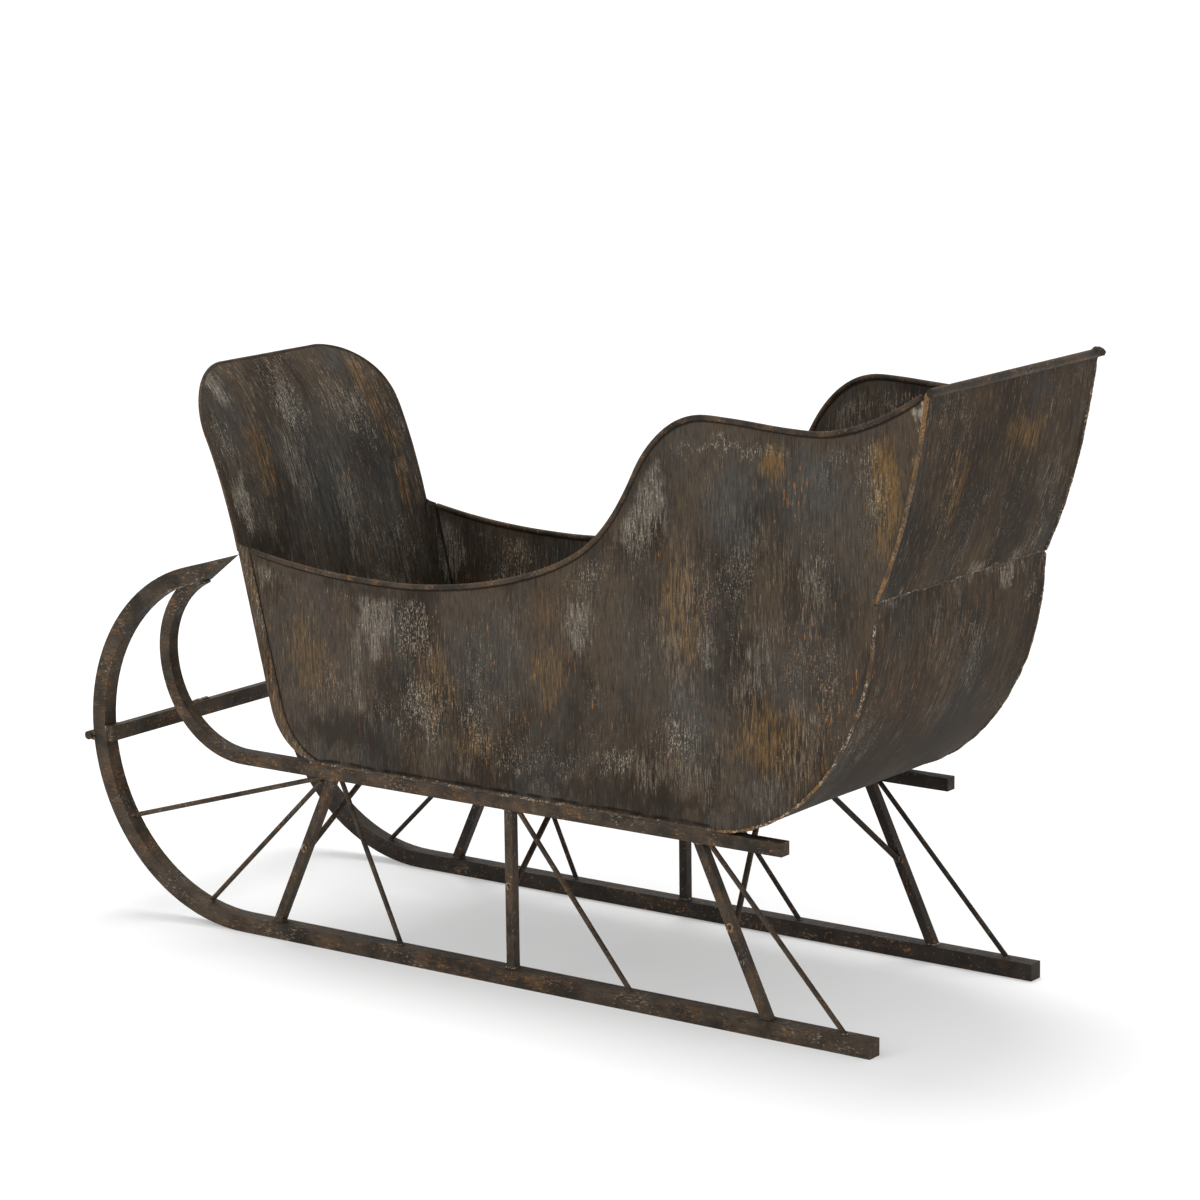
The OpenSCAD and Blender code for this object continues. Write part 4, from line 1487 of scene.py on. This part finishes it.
LEFT_STAINS: Stains = {
    Wear.HAZE: (
        Stain(0.385, 0.950, 0.050, 0.120), Stain(0.350, 0.900, 0.040, 0.090, 0.8),
        Stain(-0.500, 0.715, 0.045, 0.040, 0.8), Stain(-0.240, 0.650, 0.060, 0.060),
        Stain(0.225, 0.690, 0.040, 0.060, 0.9), Stain(-0.285, 0.560, 0.020, 0.110, 0.7),
        Stain(0.510, 0.700, 0.030, 0.060, 0.7), Stain(0.420, 0.450, 0.160, 0.035, 0.6),
    ),
    Wear.CHIPS: (
        Stain(-0.150, 0.640, 0.060, 0.080), Stain(-0.130, 0.500, 0.070, 0.070),
        Stain(0.570, 1.048, 0.140, 0.014), Stain(0.300, 0.450, 0.050, 0.035), Stain(0.453, 0.510, 0.045, 0.060),
        Stain(0.370, 0.960, 0.030, 0.120, 0.8), Stain(0.510, 0.690, 0.030, 0.060, 0.8),
        Stain(0.120, 0.440, 0.220, 0.030, 0.7),
    ),
    Wear.BARE: (Stain(0.936, 1.105, 0.006, 0.062), Stain(0.928, 1.135, 0.012, 0.012, 0.6)),
    Wear.OCHRE: (
        Stain(0.640, 1.020, 0.035, 0.055), Stain(0.872, 1.000, 0.035, 0.120),
        Stain(0.456, 0.740, 0.065, 0.140, 0.8), Stain(0.656, 0.535, 0.120, 0.090, 0.8),
        Stain(-0.400, 0.560, 0.080, 0.100, 0.65), Stain(-0.100, 0.560, 0.060, 0.110, 0.7),
        Stain(0.170, 0.600, 0.050, 0.090, 0.7), Stain(-0.010, 0.450, 0.050, 0.050, 0.7),
    ),
    Wear.ORANGE: (
        Stain(-0.350, 0.515, 0.028, 0.045), Stain(0.700, 0.985, 0.050, 0.050),
        Stain(0.780, 0.620, 0.080, 0.120, 0.7),
    ),
    Wear.BLUE: (
        Stain(0.737, 0.990, 0.075, 0.080), Stain(0.560, 0.930, 0.060, 0.100, 0.7),
        Stain(0.050, 0.600, 0.080, 0.110, 0.5),
    ),
    # darker patches: the low bands make the side darker towards the bottom; the thin one at 0.708, just under the front
    # of the bead, is painted shade
    Wear.DARK: (
        Stain(-0.330, 0.425, 0.130, 0.035), Stain(0.300, 0.395, 0.400, 0.018, 0.8),
        Stain(-0.300, 0.708, 0.080, 0.016, 0.8),
    ),
}

RIGHT_STAINS: Stains = {
    Wear.HAZE: (Stain(0.300, 0.860, 0.060, 0.120), Stain(-0.500, 0.670, 0.040, 0.080)),
    Wear.CHIPS: (
        Stain(-0.500, 0.670, 0.040, 0.080, 0.8), Stain(0.100, 0.560, 0.080, 0.080),
        Stain(-0.350, 0.600, 0.060, 0.090),
    ),
    Wear.OCHRE: (
        Stain(0.720, 0.980, 0.080, 0.110), Stain(0.400, 0.620, 0.090, 0.120, 0.8),
        Stain(-0.200, 0.520, 0.080, 0.090, 0.8),
    ),
    Wear.BLUE: (Stain(0.560, 0.850, 0.090, 0.120),),
    # a low band, darker towards the bottom
    Wear.DARK: (Stain(0.000, 0.400, 0.500, 0.022, 0.8),),
}

DASH_STAINS: Stains = {
    Wear.HAZE: (
        Stain(0.205, 1.075, 0.035, 0.050), Stain(0.030, 1.020, 0.035, 0.060, 0.7),
        Stain(0.245, 0.840, 0.030, 0.060), Stain(-0.050, 0.780, 0.040, 0.120, 0.7),
        Stain(0.060, 0.900, 0.050, 0.120, 0.6), Stain(-0.120, 0.990, 0.060, 0.080, 0.6),
    ),
    Wear.CHIPS: (
        Stain(0.028, 1.010, 0.050, 0.070), Stain(0.245, 0.830, 0.035, 0.060),
        Stain(-0.150, 0.960, 0.060, 0.090, 0.8),
    ),
    Wear.BLUE: (Stain(-0.020, 0.850, 0.110, 0.180), Stain(-0.160, 0.780, 0.070, 0.120, 0.8)),
    Wear.ORANGE: (Stain(0.152, 0.910, 0.030, 0.060),),
    Wear.OCHRE: (
        Stain(0.155, 0.920, 0.040, 0.090, 0.7), Stain(-0.210, 1.010, 0.050, 0.090, 0.8),
        Stain(-0.235, 0.850, 0.030, 0.120, 0.7),
    ),
    Wear.DARK: (Stain(0.200, 0.740, 0.070, 0.040, 0.8),),
}

BACK_STAINS: Stains = {
    Wear.OCHRE: (Stain(-0.080, 1.060, 0.080, 0.060, 0.9), Stain(0.140, 1.000, 0.060, 0.100, 0.6)),
    Wear.HAZE: (
        Stain(-0.200, 0.980, 0.060, 0.080, 0.6), Stain(-0.100, 0.803, 0.150, 0.022),
        Stain(0.230, 0.796, 0.050, 0.018, 0.8), Stain(0.000, 0.660, 0.100, 0.050, 0.4),
    ),
    Wear.CHIPS: (
        Stain(-0.130, 0.802, 0.120, 0.020), Stain(-0.245, 0.735, 0.018, 0.018),
        Stain(0.230, 0.790, 0.050, 0.020, 0.7),
    ),
    # the second patch makes the lower back darker towards the bottom
    Wear.DARK: (Stain(0.050, 0.925, 0.120, 0.050, 0.6), Stain(0.000, 0.400, 0.500, 0.170, 0.8)),
}


def sheet_finishes() -> dict[str, Finish]:
    """The finishes of the sheets, by name."""
    back = {"stains": BACK_STAINS, "ground": (0.047, 0.036, 0.026), "scuffs": 0.75}
    sheets = {
        "left": WornSheet("sheet_left", 0.0, stains=LEFT_STAINS),
        "right": WornSheet("sheet_right", 31.0, stains=RIGHT_STAINS),
        "dash": WornSheet("sheet_dash", 57.0, stains=DASH_STAINS),
        "back": WornSheet("sheet_back", 83.0, **back),
        "back_high": WornSheet("sheet_back_high", 97.0, **back),
        "floor": WornSheet("sheet_floor", 12.0, laid=False, scuffs=0.7),
        "flange": WornSheet("sheet_flange", 44.0, ground=(0.105, 0.076, 0.050), brown=(0.125, 0.078, 0.042)),
    }
    return {name: sheet.build() for name, sheet in sheets.items()}


def bar_finishes() -> dict[str, list[Finish]]:
    """The finishes of bars and rods, by kind, each list's last a darker copy for the right side, with painted shade."""
    # painted shade: darker copies of the bar and rod finishes for the right side, standing in for the body's shadow and
    # the way the light falls
    shade = {"ground": (0.026, 0.019, 0.013), "deep": (0.012, 0.009, 0.007), "bloom": (0.055, 0.032, 0.016), "wear": 0.6}
    bars = {}
    for along, (kind, drawn) in enumerate((("cross", 6.0), ("long", 7.0), ("post", 6.0))):
        near = OldBar(f"bar_{kind}", 17.0 * along, drawn=drawn, along=along)
        far = OldBar(f"bar_{kind}_right", 63.0 + along, **shade, drawn=drawn, along=along)
        bars[kind] = [near.build(), far.build()]
    near_rods = [OldBar(f"rod_{i}", 9.0 + 13.0 * i, ground=(0.056, 0.040, 0.027)).build() for i in range(2)]
    bars["rod"] = near_rods + [OldBar("rod_right", 88.0, **shade).build()]
    return bars


def weld_finishes() -> dict[str, Finish]:
    """The finishes of the welds, by name."""
    welds = {
        # the left corner seam: its dense pale flecks below 0.80 m are partly painted highlight
        "gold": SeamRust("seam_gold", gold=(0.19, 0.100, 0.034), gilt=0.65, flecks=0.75, golden_from=0.80),
        "brown": SeamRust("weld_brown", (0.055, 0.041, 0.029), (0.12, 0.075, 0.038), gilt=0.4, flecks=0.55),
        "pale": SeamRust("weld_pale", (0.075, 0.058, 0.043), (0.15, 0.115, 0.085)),
        "fold": SeamRust("weld_fold", (0.052, 0.041, 0.031), (0.105, 0.078, 0.053), gilt=0.45, flecks=0.5),
        "plug": SeamRust("weld_plug", (0.11, 0.062, 0.027), (0.25, 0.15, 0.075), gilt=0.7, flecks=0.9),
    }
    return {name: weld.build() for name, weld in welds.items()}


def main() -> None:
    """Builds the sleigh's looks and the studio round it."""
    logging.basicConfig(level=logging.INFO, format="%(name)s: %(message)s")
    Studio().build()
    sheets, welds = sheet_finishes(), weld_finishes()
    bead = OldBar("bead_rod", 71.0, ground=(0.060, 0.040, 0.024), bloom=(0.135, 0.072, 0.032), wear=0.5).build()
    FrameDress().build(bar_finishes(), sheets["floor"])
    SheetBody().build(sheets, bead)
    BodySeams().build(welds, bead)
    GearWelds().build(welds)


if __name__ == "__main__":
    main()
